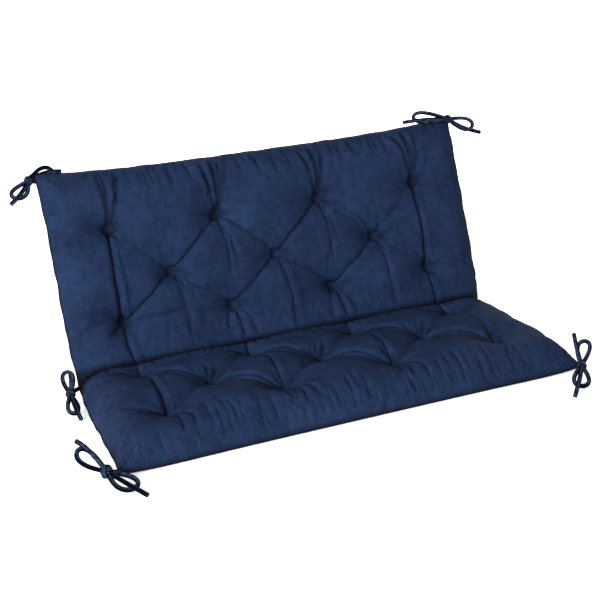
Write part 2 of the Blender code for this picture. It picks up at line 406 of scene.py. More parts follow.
@dataclass
class CushionForm:
    """The cushion's surface in closed form, as a function of a place on the cloth.

    A place is a share u of the half width and a length s along the cloth, 0 at the fold,
    below 0 on the seat and above 0 on the back.
    """

    width: float = 1.202
    seat_depth: float = 0.478
    back_length: float = 0.562
    recline: float = math.radians(20.1)
    fold_y: float = 0.1413
    seam_height: float = 0.016
    fold_radius: float = 0.028
    seat_crown: float = 0.069
    back_crown: float = 0.047
    rear_crown: float = 0.041
    side_round: float = 0.100
    left_round: float = 0.050
    seam_ripple: float = 0.0008
    side_rates: Place = (83.0, 47.0)
    end_rates: Place = (51.0, 29.0)
    end_ripple: float = 0.6
    underside_round: float = 0.040
    round_power: float = 2.3
    seam_thickness: float = 0.004
    top_draw: float = 0.018
    left_draw: float = 0.007
    right_draw: float = 0.000
    fold_draw: float = 0.012
    fold_draw_spread: float = 0.080
    seam_dip: float = 0.011
    front_flare: float = 0.012
    corner_lift: float = 0.005
    corner_power: float = 14.0
    groove_floor: float = 0.022
    groove_gap: float = 0.0012
    groove_roll: float = 0.007
    mouth_width: float = 0.014
    mouth_gap: float = 0.0048
    roll_reach: float = 0.16
    back_blend: Place = (0.03, 0.12)
    rear_blend: float = 0.10
    tuft_pitch: float = 0.2963
    seat_tuft_height: float = 0.034
    back_tuft_height: float = 0.012
    rear_tuft_depth: float = 0.026
    under_tuft_depth: float = 0.010
    under_tuft_flat: float = 0.4
    tuft_spread: float = 0.034
    seat_valley_depth: float = 0.012
    back_valley_depth: float = 0.005
    valley_width: float = 0.022
    rows: tuple[TuftRow, ...] = (
        TuftRow(Panel.SEAT, 0.3433, 4),
        TuftRow(Panel.SEAT, 0.2167, 3),
        TuftRow(Panel.SEAT, 0.0945, 4),
        TuftRow(Panel.BACK, 0.1506, 4),
        TuftRow(Panel.BACK, 0.2688, 3),
        TuftRow(Panel.BACK, 0.4037, 4),
    )

    def __post_init__(self) -> None:
        """Works out the fold's arc and the places of the tufts and of the valleys."""
        self.turn = math.pi / 2 - self.recline
        self.arc_half = self.fold_radius * self.turn / 2
        self.fold_reach = self.fold_radius * math.tan(self.turn / 2)
        self.tufts = np.array([place for row in self.rows for place in self.in_row(row)])
        runs = []
        for below, above in zip(self.rows, self.rows[1:]):
            if below.panel is above.panel:
                pairs = [(a, b) for a in self.in_row(below) for b in self.in_row(above)]
                runs += [(a, b) for a, b in pairs if abs(a[0] - b[0]) < self.tuft_pitch]
        self.valleys = np.array(runs)

    def cloth_place(self, row: TuftRow) -> float:
        """The row's length along the cloth from the fold."""
        return row.panel.value * (row.from_fold - self.fold_reach + self.arc_half)

    def in_row(self, row: TuftRow) -> list[tuple[float, float]]:
        """The places (x, s) of the row's tufts, from left to right."""
        s, middle = self.cloth_place(row), (row.count - 1) / 2
        return [((i - middle) * self.tuft_pitch, s) for i in range(row.count)]

    def spine(self, s: Array) -> tuple[Array, Array, Array, Array]:
        """The seam's plane, straight on both panels and turned on a short arc at the fold.

        Args:
            s: the places along the cloth.

        Returns:
            Its y and z, and the y and z of the direction that its inner face looks in.
        """
        angle = np.clip((s + self.arc_half) / self.fold_radius, 0.0, self.turn)
        before = np.minimum(s + self.arc_half, 0.0)
        after = np.maximum(s - self.arc_half, 0.0)
        y = -self.fold_reach + before + self.fold_radius * np.sin(angle)
        y = y + after * math.cos(self.turn)
        z = self.seam_height + self.fold_radius * (1.0 - np.cos(angle))
        z = z + after * math.sin(self.turn)
        return y, z, -np.sin(angle), np.cos(angle)

    def from_fold(self, s: Array) -> Array:
        """Distance from the fold's corner along the flat panels."""
        beyond = np.abs(s) - self.arc_half
        return np.where(beyond > 0.0, beyond + self.fold_reach, np.abs(s))

    def to_tuft(self, x: Array, s: Array) -> Array:
        """How far each place is from the nearest tuft."""
        return np.min([np.hypot(x - at[0], s - at[1]) for at in self.tufts], axis=0)

    def tuft_pull(self, x: Array, s: Array) -> Array:
        """1 at a tuft, falling off as the cloth funnels out of it by exp(-r / spread)."""
        return np.exp(-self.to_tuft(x, s) / self.tuft_spread)

    def valley_pull(self, x: Array, s: Array) -> Array:
        """A bell across each line between two neighbouring tufts."""
        gaps = [np.hypot(*off_run(x, s, a, b)[1:]) for a, b in self.valleys]
        return bell(np.min(gaps, axis=0), self.valley_width)

    def half_width(self, side: Array, s: Array) -> Array:
        """How wide the cloth is to one side.

        Each seam is drawn in and ripples between its corners, by 1 - |2 t - 1| to the 4
        on either panel, and is drawn in by a bell at the fold.

        Args:
            side: below 0 for the left seam, above it for the right.
            s: the places along the cloth.

        Returns:
            The distances from the middle to that seam.
        """
        panel = np.where(s < 0, self.seat_depth, self.back_length)
        across = np.minimum(np.abs(s) / panel, 1.0)
        drawn = np.where(side < 0, self.left_draw, self.right_draw)
        drawn = drawn + self.seam_ripple * ripple(s, self.side_rates, 2.0 * side)
        drawn = drawn * (1.0 - np.abs(2.0 * across - 1.0) ** 4)
        at_fold = self.fold_draw * bell(s, self.fold_draw_spread)
        return self.width / 2 - drawn - at_fold

    def end_of(self, u: Array, s: Array) -> Array:
        """The places along the cloth with the ends shaped.

        The front is flared by |u| to the 4, and the top is drawn in by 1 - |u| to the
        3.5 and rippled between its corners.

        Args:
            u: the shares of the half width.
            s: the places along the cloth.

        Returns:
            The shifted places.
        """
        flare = self.front_flare / self.seat_depth * np.abs(u) ** 4
        front = s * (1.0 + flare * (s / self.seat_depth) ** 2)
        drawn = self.top_draw * (1.0 - np.abs(u) ** 3.5)
        rippled = self.end_ripple * self.seam_ripple * ripple(u, self.end_rates)
        drawn = drawn + rippled * (1.0 - u**8)
        return np.where(s < 0, front, s * (1.0 - drawn / self.back_length))

    def seam_level(self, u: Array, s: Array) -> Array:
        """The seat's seam against its plane: sunk between its lifted front corners.

        Args:
            u: the shares of the half width.
            s: the places along the cloth.

        Returns:
            The seam's height over the plane, 0 on the back.
        """
        share = np.clip(-s / self.seat_depth, 0.0, 1.0)
        corner = np.abs(u) ** self.corner_power
        along_side = 1.0 - np.abs(2.0 * share - 1.0) ** 3
        dip = self.seam_dip * np.maximum((1.0 - corner) * smooth(share * 3.0), along_side)
        level = self.corner_lift * corner * share**self.corner_power - dip
        return np.where(s < 0, level, 0.0)

    def rounding(self, to_side: Array, to_end: Array, reach: Array | float) -> Array:
        """The share of the full height so far from the side seam and the end seam."""
        ends = quarter_round(to_end, self.side_round, self.round_power)
        return quarter_round(to_side, reach, self.round_power) * ends

    def inner(self, u: Array, s: Array) -> Array:
        """The face that is sat on and leant against.

        The back's left side rounds off on a shorter reach than the other sides.

        Args:
            u: the shares of the half width.
            s: the places along the cloth.

        Returns:
            One point for each place.
        """
        x = u * self.half_width(u, s)
        blend = smooth(s, *self.back_blend)
        reach = self.side_round + (self.left_round - self.side_round) * (blend * (u < 0.0))
        rounding = self.rounding(*self.edge_distances(x, u, s), reach)
        seam, half_seam = self.seam_level(u, s), self.seam_thickness / 2
        full = self.seat_crown + (self.back_crown - self.seat_crown) * blend
        tuft = np.where(s < 0, self.seat_tuft_height, self.back_tuft_height)
        pull = self.tuft_pull(x, s)
        height = seam + half_seam + (full - seam - half_seam) * rounding
        height = height - (full - tuft) * pull * rounding
        valley = np.where(s < 0, self.seat_valley_depth, self.back_valley_depth)
        height = height - valley * self.valley_pull(x, s) * (1.0 - pull)
        return self.placed(x, u, s, self.grooved(height, s))

    def grooved(self, height: Array, s: Array) -> Array:
        """The height kept on its side of the plane that halves the fold's angle.

        Away from the fold the limit is the plane's height less a small gap, and a soft
        minimum rounds the roll of the two panels where they press on each other.

        Args:
            height: the heights over the seam's plane.
            s: the places along the cloth.

        Returns:
            The limited heights.
        """
        away = self.from_fold(s)
        slope = math.tan((math.pi - self.turn) / 2)
        gap = self.groove_gap
        gap = gap + self.mouth_gap * (1.0 - smooth(away, self.fold_reach, self.mouth_width))
        limit = np.maximum(slope * away - gap / math.cos(math.atan(slope)), 1e-4)
        roll = self.groove_roll
        soft = -roll * np.logaddexp(-height / roll, -limit / roll)
        outside = np.where(away > self.roll_reach, height, soft)
        floor = np.minimum(self.groove_floor, height)
        return np.where(away <= self.fold_reach + 1e-6, floor, np.minimum(outside, height))

    def outer(self, u: Array, s: Array) -> Array:
        """The underside of the seat and the rear of the back.

        Args:
            u: the shares of the half width.
            s: the places along the cloth.

        Returns:
            One point for each place.
        """
        x = u * self.half_width(u, s)
        gaps = self.edge_distances(x, u, s)
        seam, half_seam = self.seam_level(u, s), self.seam_thickness / 2
        pull = self.tuft_pull(x, s)
        settled = quarter_round(np.minimum(*gaps), self.underside_round, self.round_power)
        lift = self.under_tuft_depth * np.maximum(pull - self.under_tuft_flat, 0.0)
        under = seam - half_seam - (self.seam_height + seam - half_seam) * settled
        under = np.maximum(under, -self.seam_height) + lift * settled
        rounding = self.rounding(*gaps, self.side_round)
        swell = smooth(s, 0.0, self.rear_blend)
        full = self.seam_height + (self.rear_crown - self.seam_height) * swell
        rear = -half_seam - (full - half_seam) * rounding
        rear = rear + self.rear_tuft_depth * pull * rounding
        rear = rear + self.seat_valley_depth * self.valley_pull(x, s) * (1.0 - pull)
        return self.placed(x, u, s, np.where(s < 0, under, rear))

    def edge_distances(self, x: Array, u: Array, s: Array) -> tuple[Array, Array]:
        """How far places are from the seams.

        Args:
            x: the places across.
            u: the shares of the half width.
            s: the places along the cloth.

        Returns:
            The distances to the side seam and to the end seam.
        """
        to_side = np.maximum(self.half_width(u, s) - np.abs(x), 0.0)
        to_end = np.where(s < 0, self.seat_depth + s, self.back_length - s)
        return to_side, np.maximum(to_end, 0.0)

    def placed(self, x: Array, u: Array, s: Array, height: Array) -> Array:
        """Puts places of the cloth in space.

        Args:
            x: the places across.
            u: the shares of the half width.
            s: the places along the cloth.
            height: the heights over the seam's plane.

        Returns:
            One point for each place.
        """
        y, z, normal_y, normal_z = self.spine(self.end_of(u, s))
        y = self.fold_y + y + height * normal_y
        return np.stack([x, y, z + height * normal_z], axis=-1)

    def corner(self, side: float, s: float) -> tuple[Vector, Vector]:
        """The seam at a corner or at an end of the fold.

        Args:
            side: -1 on the left, 1 on the right.
            s: the place along the cloth.

        Returns:
            The seam's tip and its way out.
        """
        u, at = np.array([float(side)]), np.array([s])
        tip = Vector((self.inner(u, at)[0] + self.outer(u, at)[0]) / 2)
        along = Vector((0.0, 0.0, 0.0))
        if s < 0:
            along = Vector((0.0, -1.0, 0.0))
        elif s > 0:
            along = Vector((0.0, math.cos(self.turn), math.sin(self.turn)))
        return tip, (Vector((side, 0.0, 0.0)) + along).normalized()


@dataclass
class Creases:
    """The folds of the padded face, named by the tufts that they run from.

    A tuft is named by its row, 0 at the seat's front up to 5 at the back's top, and its
    place in that row from the left. Uneven waves move the folds' lines aside by `stray`,
    but not within `stray_clear` of a tuft, and make them deeper and shallower. A line of
    painted shade, with its bump, is drawn in full where a fold of `sharp_width` is
    `full_crease` deep, fades in and out over `line_fade`, and ends `line_reach` away. The
    two shade shares are how much shade is painted on a steep side that is `full_shadow`
    deep and in a tuft's pit.
    """

    form: CushionForm
    seed: int = 5
    pit_depth: float = 0.008
    pit_width: float = 0.0105
    column_width: float = 0.0054
    diagonal_width: float = 0.0046
    ray_width: float = 0.0040
    gather_width: float = 0.0056
    pucker_width: float = 0.0064
    gap_reach: float = 0.020
    stray: float = 0.0032
    unevenness: float = 0.40
    stray_clear: float = 0.045
    uneven_rates: Place = (61.0, 143.0)
    stray_rates: Place = (47.0, 53.0)
    line_fade: float = 0.004
    ridge_sink: float = 0.004
    sharp_width: float = 0.0050
    full_crease: float = 0.0055
    full_shadow: float = 0.010
    line_reach: float = 0.010
    pit_clear: Place = (0.011, 0.012)
    pit_calm: float = 0.6
    # Shares of shade painted on the folds' steep sides and in the tufts' pits.
    painted_shade_shares: Place = (0.38, 0.20)
    ray_turns: tuple[float, ...] = (-1.2, -0.75, -0.3, 0.1, 0.5, 2.7, 3.9)
    swells: tuple[Swell, ...] = (
        Swell((0.540, -0.330), 0.004, 0.050),
        Swell((-0.520, -0.200), 0.004, 0.060),
    )
    top_puckers: tuple[float, ...] = (
        -0.343, -0.329, -0.313, -0.262, -0.213, -0.068, -0.014, 0.031, 0.071,
        0.205, 0.228, 0.268, 0.325, 0.340, 0.366,
    )
    front_puckers: tuple[float, ...] = (
        -0.371, -0.347, -0.330, -0.316, -0.295, -0.243, -0.215, -0.187, -0.059, -0.013,
        0.005, 0.027, 0.070, 0.089, 0.228, 0.255, 0.285, 0.303, 0.333, 0.363, 0.382,
    )

    def __post_init__(self) -> None:
        """Starts the seeded numbers and lists the folds."""
        self.chance = np.random.default_rng(self.seed)
        self.folds = [*self.columns(), *self.diagonals(), *self.rays()]
        self.folds += [*self.gathers(), *self.front(), *self.pinches()]
        self.swells += tuple(self.dents())

    def tuft(self, row: int, index: int) -> Place:
        """The place of a tuft."""
        return self.form.in_row(self.form.rows[row])[index]

    def run(
        self, row: int, index: int, across: float, along: float, depth: float, width: float,
        bow: float = 0.0, shoulder: float = 0.5, fade: Place = (0.04, 0.5),
    ) -> Fold:
        """A fold from a tuft to a place so far across and along the cloth from it."""
        x, s = self.tuft(row, index)
        return Fold((x, s), (x + across, s + along), depth, width, bow, shoulder, 0.6 * width, fade)

    def between(
        self, first: tuple[int, int], second: tuple[int, int], depth: float, bow: float,
        shoulder: float, width: float = 0.0, middle: float = 0.55,
    ) -> Fold:
        """A crease from one tuft to another that keeps the middle share of it half way."""
        ends, wide = (self.tuft(*first), self.tuft(*second)), width or self.diagonal_width
        return Fold(*ends, depth, wide, bow, shoulder, 0.0, (0.03, 0.03), middle)

    def columns(self) -> list[Fold]:
        """The upright creases that end at the outer tufts, and soft ones inside.

        The back's reach from row 5 to row 3 and from there towards the fold, and the
        seat's from row 0 through row 2 towards the fold.

        Returns:
            The folds.
        """
        wide = self.column_width
        top, low, rear = 0.2531, 0.1486 - 0.030, 0.0925 - 0.028
        ends, soft = (0.02, 0.02), (0.02, 0.05)
        runs = (
            (5, 0, -0.004, -top, 0.0120, wide, -0.02, 1.0, ends),
            (3, 0, 0.000, -low, 0.0072, wide, -0.05, 1.0, soft),
            (5, 3, 0.000, -top, 0.0085, wide, -0.035, 1.0, ends),
            (3, 3, -0.010, -low, 0.0052, wide, -0.03, 1.0, soft),
            (5, 1, 0.000, -0.215, 0.0042, 0.0070, 0.03, 1.0, (0.03, 0.5)),
            (5, 1, 0.022, -0.190, 0.0032, 0.0066, 0.06, 1.0, (0.30, 0.5)),
            (5, 2, 0.004, -0.215, 0.0044, 0.0070, 0.02, 1.0, (0.03, 0.5)),
            (5, 2, 0.024, -0.180, 0.0032, 0.0066, 0.05, 1.0, (0.35, 0.5)),
            (4, 0, 0.012, -0.215, 0.0032, 0.0080, 0.04, 0.8, (0.04, 0.3)),
            (4, 1, 0.008, -0.225, 0.0040, 0.0074, 0.04, 0.8, (0.04, 0.15)),
            (4, 2, 0.010, -0.225, 0.0038, 0.0076, 0.04, 0.8, (0.04, 0.15)),
        )
        folds = [self.run(*values) for values in runs]
        seat = (
            (0.0090, 0.03, 0.004), (0.0065, 0.05, 0.006),
            (0.0065, 0.05, 0.002), (0.0080, 0.04, -0.010),
        )
        for index, (depth, bow, lean) in enumerate(seat):
            folds.append(self.between((2, index), (0, index), depth, bow, 0.6, wide, 0.8))
            folds.append(self.run(2, index, lean, rear, 0.006, wide, 0.02, -0.7, (0.03, 0.1)))
        return folds

    def diagonals(self) -> list[Fold]:
        """The creases of the diamonds, sharp one way and softer the other.

        Returns:
            The folds.
        """
        back = (
            ((5, 1), (4, 0), 0.0052, 0.00, 0.8),
            ((4, 0), (3, 0), 0.0050, 0.00, 0.8),
            ((5, 2), (4, 1), 0.0055, 0.00, 0.8),
            ((4, 1), (3, 1), 0.0052, 0.00, 0.8),
            ((4, 2), (3, 2), 0.0052, 0.00, 0.8),
            ((5, 1), (4, 1), 0.0036, 0.03, 0.4),
            ((5, 2), (4, 2), 0.0036, 0.08, 0.4),
            ((4, 2), (3, 3), 0.0038, 0.09, 0.4),
            ((4, 0), (3, 1), 0.0026, 0.04, 0.4),
            ((4, 1), (3, 2), 0.0024, 0.02, 0.4),
        )
        folds = [self.between(*values) for values in back]
        for index in range(3):
            folds += [
                self.between((2, index), (1, index), 0.0070, 0.08, 0.8),
                self.between((1, index), (2, index + 1), 0.0052, -0.03, -0.5),
                self.between((1, index), (0, index + 1), 0.0070, 0.10, 0.8),
                self.between((1, index), (0, index), 0.0034, 0.03, -0.5),
            ]
        return folds

    def rays(self) -> list[Fold]:
        """Short pleats that fan out of each tuft, narrow there and wider further out.

        Returns:
            The folds.
        """
        thin = self.ray_width
        fan, side_fan = (0.03, 0.15), (0.10, 0.15)
        runs = (
            (5, 0, 0.045, -0.004, 0.0022, thin),
            (5, 1, -0.095, 0.014, 0.0026, thin),
            (5, 2, -0.075, 0.014, 0.0026, thin),
            (5, 3, 0.055, -0.012, 0.0022, thin),
            (3, 0, 0.230, 0.004, 0.0026, thin, 0.02),
            (3, 0, -0.060, -0.040, 0.0034, 0.0055, 0.0, -0.8),
            (3, 1, 0.085, 0.006, 0.0030, thin, 0.04),
            (3, 1, -0.150, -0.004, 0.0024, 0.0060, 0.02),
            (3, 2, 0.130, -0.004, 0.0026, thin, 0.03),
            (3, 3, 0.075, 0.002, 0.0024, thin, 0.03),
            (4, 0, 0.022, -0.065, 0.0036, thin, 0.10),
            (4, 0, 0.060, -0.024, 0.0036, thin, 0.08),
            (4, 2, 0.020, -0.070, 0.0030, thin, 0.08),
            (4, 2, 0.030, 0.042, 0.0026, thin),
            (4, 2, 0.075, 0.014, 0.0026, thin, -0.04),
            (3, 1, -0.024, -0.100, 0.0032, 0.0080, -0.12, 0.8, side_fan),
            (3, 1, 0.010, -0.100, 0.0038, 0.0070, 0.05, 0.8, fan),
            (3, 1, 0.044, -0.100, 0.0030, 0.0080, 0.14, 0.8, side_fan),
            (3, 2, -0.022, -0.100, 0.0030, 0.0080, -0.12, 0.8, side_fan),
            (3, 2, 0.012, -0.100, 0.0038, 0.0070, 0.05, 0.8, fan),
            (3, 2, 0.040, -0.100, 0.0030, 0.0080, 0.12, 0.8, side_fan),
        )
        folds = [self.run(*values) for values in runs]
        for index in range(3):
            for across, along in ((-0.034, 0.080), (-0.010, 0.056), (0.014, 0.064), (0.046, 0.058)):
                folds.append(self.run(1, index, across, along, 0.0064, thin + 0.0010, 0.05, 0.9))
        for index in range(4):
            for across, along in ((-0.100, 0.022), (-0.082, 0.004), (-0.060, -0.014)):
                folds.append(self.run(0, index, across, along, 0.0061, thin, -0.10, 0.9))
            folds.append(self.run(0, index, 0.028, 0.060, 0.0034, thin, 0.05, 0.6))
            folds.append(self.run(0, index, 0.004, 0.090, 0.0030, thin, 0.05, 0.6))
            for across, along in ((-0.090, 0.012), (-0.075, -0.004), (-0.050, -0.014)):
                folds.append(self.run(2, index, across, along, 0.0055, thin, -0.10, 0.9))
        for row, width in enumerate(self.form.rows):
            if row != 1:
                for index in range(width.count):
                    folds += self.short_rays(row, index)
        return folds

    def short_rays(self, row: int, index: int) -> list[Fold]:
        """Seven seeded pleats round one tuft, five of them in a fan to its right.

        Args:
            row: the tuft's row.
            index: its place in the row.

        Returns:
            The folds.
        """
        start = self.chance.uniform(-0.2, 0.2)
        turns = start + np.array(self.ray_turns) + self.chance.uniform(-0.2, 0.2, 7)
        lengths = self.chance.uniform(0.018, 0.052, 7)
        depths = self.chance.uniform(0.0024, 0.0050, 7) * np.where(np.cos(turns) > 0, 1.0, 0.5)
        folds = []
        for turn, length, depth in zip(turns, lengths, depths):
            across, along = length * math.cos(turn), length * math.sin(turn)
            folds.append(self.run(row, index, across, along, depth, 0.0036, shoulder=0.8))
        return folds

    def dents(self) -> list[Swell]:
        """A soft seeded dent on the left of each of the back's tufts.

        Returns:
            The dents, as swells of a height below 0.
        """
        back = [place for row in self.form.rows[3:] for place in self.form.in_row(row)]
        return [
            Swell(
                (x - self.chance.uniform(0.016, 0.024), s + self.chance.uniform(-0.008, 0.006)),
                -self.chance.uniform(0.0040, 0.0066),
                self.chance.uniform(0.020, 0.027),
            )
            for x, s in back
        ]

    def gathers(self) -> list[Fold]:
        """Pleats from the top row up to the top seam, and short ones all along it.

        Returns:
            The folds.
        """
        end = self.form.back_length - 0.004
        wide = self.gather_width
        tops = (
            (0, -0.006, 0.0042), (0, 0.010, 0.0056), (0, 0.054, 0.0058),
            (1, -0.026, 0.0044), (1, 0.012, 0.0066), (1, 0.032, 0.0056), (1, 0.050, 0.0036),
            (2, -0.038, 0.0042), (2, 0.000, 0.0066), (2, 0.028, 0.0054),
            (3, -0.044, 0.0050), (3, -0.010, 0.0062), (3, 0.024, 0.0048),
        )
        folds = []
        for index, across, depth in tops:
            x, s = self.tuft(5, index)
            start = (x + 0.08 * across, s)
            stop = (x + across - 0.004, end)
            folds.append(Fold(start, stop, depth, wide, -0.05, 1.0, 0.0036, (0.05, 0.12)))
        wide = self.pucker_width
        for x in self.top_puckers:
            length, depth = self.chance.uniform(0.05, 0.10), self.chance.uniform(0.0028, 0.0048)
            start = (x + 0.006, end - length)
            folds.append(Fold(start, (x, end), depth, wide, -0.04, 0.9, 0.004, (0.6, 0.1)))
        return folds

    def front(self) -> list[Fold]:
        """Hooked pleats below the front row, and upright puckers down the front face.

        Returns:
            The folds.
        """
        end = -self.form.seat_depth + 0.005
        hooks = (
            (0, 0.000, 0.0040), (0, 0.040, 0.0030),
            (1, -0.012, 0.0034), (1, 0.018, 0.0042), (1, 0.052, 0.0038),
            (2, -0.036, 0.0036), (2, 0.002, 0.0042), (2, 0.042, 0.0038), (2, -0.066, 0.0024),
            (3, -0.044, 0.0030), (3, -0.006, 0.0036), (3, 0.030, 0.0022),
        )
        folds = []
        wide = self.gather_width
        for index, across, depth in hooks:
            x, s = self.tuft(0, index)
            bow = 0.10 + 1.2 * max(across, 0.0)
            stop = (x + across, max(end, s - self.chance.uniform(0.10, 0.13)))
            folds.append(Fold((x, s), stop, depth, wide, bow, 0.7, 0.0036, (0.05, 0.35)))
        wide = self.pucker_width
        for x in self.front_puckers:
            start = (x, -self.chance.uniform(0.365, 0.405))
            depth = self.chance.uniform(0.0012, 0.0032)
            stop = (x + self.chance.uniform(-0.010, 0.004), end)
            folds.append(Fold(start, stop, depth, wide, 0.04, 0.7, 0.0045, (0.4, 0.08)))
        return folds

    def pinches(self) -> list[Fold]:
        """Small seeded puckers along every seam and on both sides of the fold.

        Returns:
            The folds.
        """
        form = self.form
        folds = []
        kinds = (
            (form.back_length - 0.003, -0.040, 0.0022, (0.6, 0.1)),
            (-form.seat_depth + 0.004, 0.060, 0.0018, (0.6, 0.1)),
            (0.034, 0.042, 0.0010, (0.5, 0.5)),
            (-0.034, -0.055, 0.0030, (0.5, 0.5)),
        )
        for x in np.arange(-0.585, 0.59, 0.0235) + self.chance.uniform(-0.007, 0.007, 50):
            shares = self.chance.uniform(0.4, 1.0, len(kinds))
            for (end, length, depth, fade), share in zip(kinds, shares):
                start = (x + self.chance.uniform(-0.014, 0.004), end + length * share)
                folds.append(Fold(start, (x, end), depth * share, 0.0050, 0.0, 0.5, 0.0040, fade))
        for s in np.arange(-0.45, 0.54, 0.030):
            if abs(s) < 0.05:
                continue
            at = s + self.chance.uniform(-0.008, 0.008)
            for side, share in zip((-1.0, 1.0), self.chance.uniform(0.4, 1.0, 2)):
                start = (side * (0.590 - 0.035 * share), at + self.chance.uniform(-0.004, 0.004))
                stop, depth = (side * 0.597, at), 0.0018 * share
                folds.append(Fold(start, stop, depth, 0.0055, 0.0, 0.5, 0.004, (0.6, 0.1)))
        return folds

    def relief(self, x: Array, s: Array, widen: float = 1.0) -> Marked:
        """The folds and the tufts' pits together.

        Troughs that meet are joined by the cube root of their cubes' sum, so a tuft where
        many of them end sinks little more than the deepest of them. The gap and the crease
        are those of the fold that is strongest at each place.

        Args:
            x: the places across.
            s: the places along the cloth.
            widen: a factor on each fold's width, for a coarser grid.

        Returns:
            The folds' marks at every place.
        """
        to_tuft = self.form.to_tuft(x, s)
        stray = self.stray * (1.0 - bell(to_tuft, self.stray_clear))
        slow, fast = self.uneven_rates
        uneven = 1.0 + self.unevenness * (waves(x, s, slow, 2.3) + waves(x, s, fast, 0.4)) / 2
        slow, fast = self.stray_rates
        x, s = x + stray * waves(x, s, slow, 0.7), s + stray * waves(x, s, fast, 4.1)
        sunk, risen, shadow, best, crease = (np.zeros_like(x) for _ in range(5))
        gap = np.full(x.shape, self.gap_reach)
        for fold in self.folds:
            found = fold.relief(x, s, widen)
            near = found.near
            sunk[near] += found.sunk**3
            risen[near] += found.risen**3
            shadow[near] = np.maximum(shadow[near], found.shadow)
            weight = found.depth * np.exp(-np.abs(found.gap) / self.line_fade)
            stronger = weight > best[near]
            sharp = min((self.sharp_width / fold.width) ** 2, 1.0)
            best[near] = np.where(stronger, weight, best[near])
            gap[near] = np.where(stronger, found.gap, gap[near])
            crease[near] = np.where(stronger, found.depth * sharp, crease[near])
        sunk, risen = np.cbrt(sunk) * uneven, np.cbrt(risen) * uneven
        calm, clear = (bell(to_tuft, width) for width in self.pit_clear)
        crease = crease * uneven**2 * (1.0 - self.pit_calm * calm)
        pit = bell(to_tuft, self.pit_width * widen)
        risen = risen * (1.0 - clear) * np.exp(-sunk / self.ridge_sink)
        # Painted shade on the folds' steep sides and in the tufts' pits.
        from_shadow, from_pit = self.painted_shade_shares
        painted_shade = from_shadow * smooth(shadow * uneven / self.full_shadow) + from_pit * pit**2
        swelled = sum(swell.lift(x, s) for swell in self.swells)
        faded = smooth((self.line_reach - np.abs(gap)) / self.line_fade)
        return Marked(
            swelled + risen - sunk - self.pit_depth * pit,
            np.clip(painted_shade, 0.0, 1.0),
            np.clip(gap, -self.gap_reach, self.gap_reach),
            np.clip(crease / self.full_crease, 0.0, 1.0) * faded,
        )


# ------------------------------------------------------------------------- shader maths


class Signal:
    """A shader socket that can be used in Python sums, products and powers."""

    def __init__(self, graph: "Graph", socket: bpy.types.NodeSocket) -> None:
        """Wraps one output socket of a node in the graph."""
        self.graph, self.socket = graph, socket

    def maths(self, operation: str, *values: "Signal | float") -> "Signal":
        """A Math node of that operation on the given values."""
        return self.graph.node("ShaderNodeMath", {"operation": operation}, *values)

    def __add__(self, other: "Signal | float") -> "Signal":
        """This value plus the other."""
        return self.maths("ADD", self, other)

    def __sub__(self, other: "Signal | float") -> "Signal":
        """This value less the other."""
        return self.maths("SUBTRACT", self, other)

    def __rsub__(self, other: float) -> "Signal":
        """The other value less this one."""
        return self.maths("SUBTRACT", other, self)

    def __mul__(self, other: "Signal | float") -> "Signal":
        """This value times the other."""
        return self.maths("MULTIPLY", self, other)

    def __pow__(self, other: "Signal | float") -> "Signal":
        """This value to the power of the other."""
        return self.maths("POWER", self, other)

    def __rpow__(self, other: float) -> "Signal":
        """The other value to the power of this one."""
        return self.maths("POWER", other, self)

    __radd__ = __add__
    __rmul__ = __mul__

    def sine(self) -> "Signal":
        """The sine of this value, in radians."""
        return self.maths("SINE", self)

    def bell(self, width: float) -> "Signal":
        """The bell curve of this value: e to the power of -(value / width) squared."""
        return self.maths("EXPONENT", self * self * (-1.0 / width**2))

    def held(self) -> "Signal":
        """This value kept from 0 to 1."""
        clamp = {"operation": "ADD", "use_clamp": True}
        return self.graph.node("ShaderNodeMath", clamp, self, 0.0)


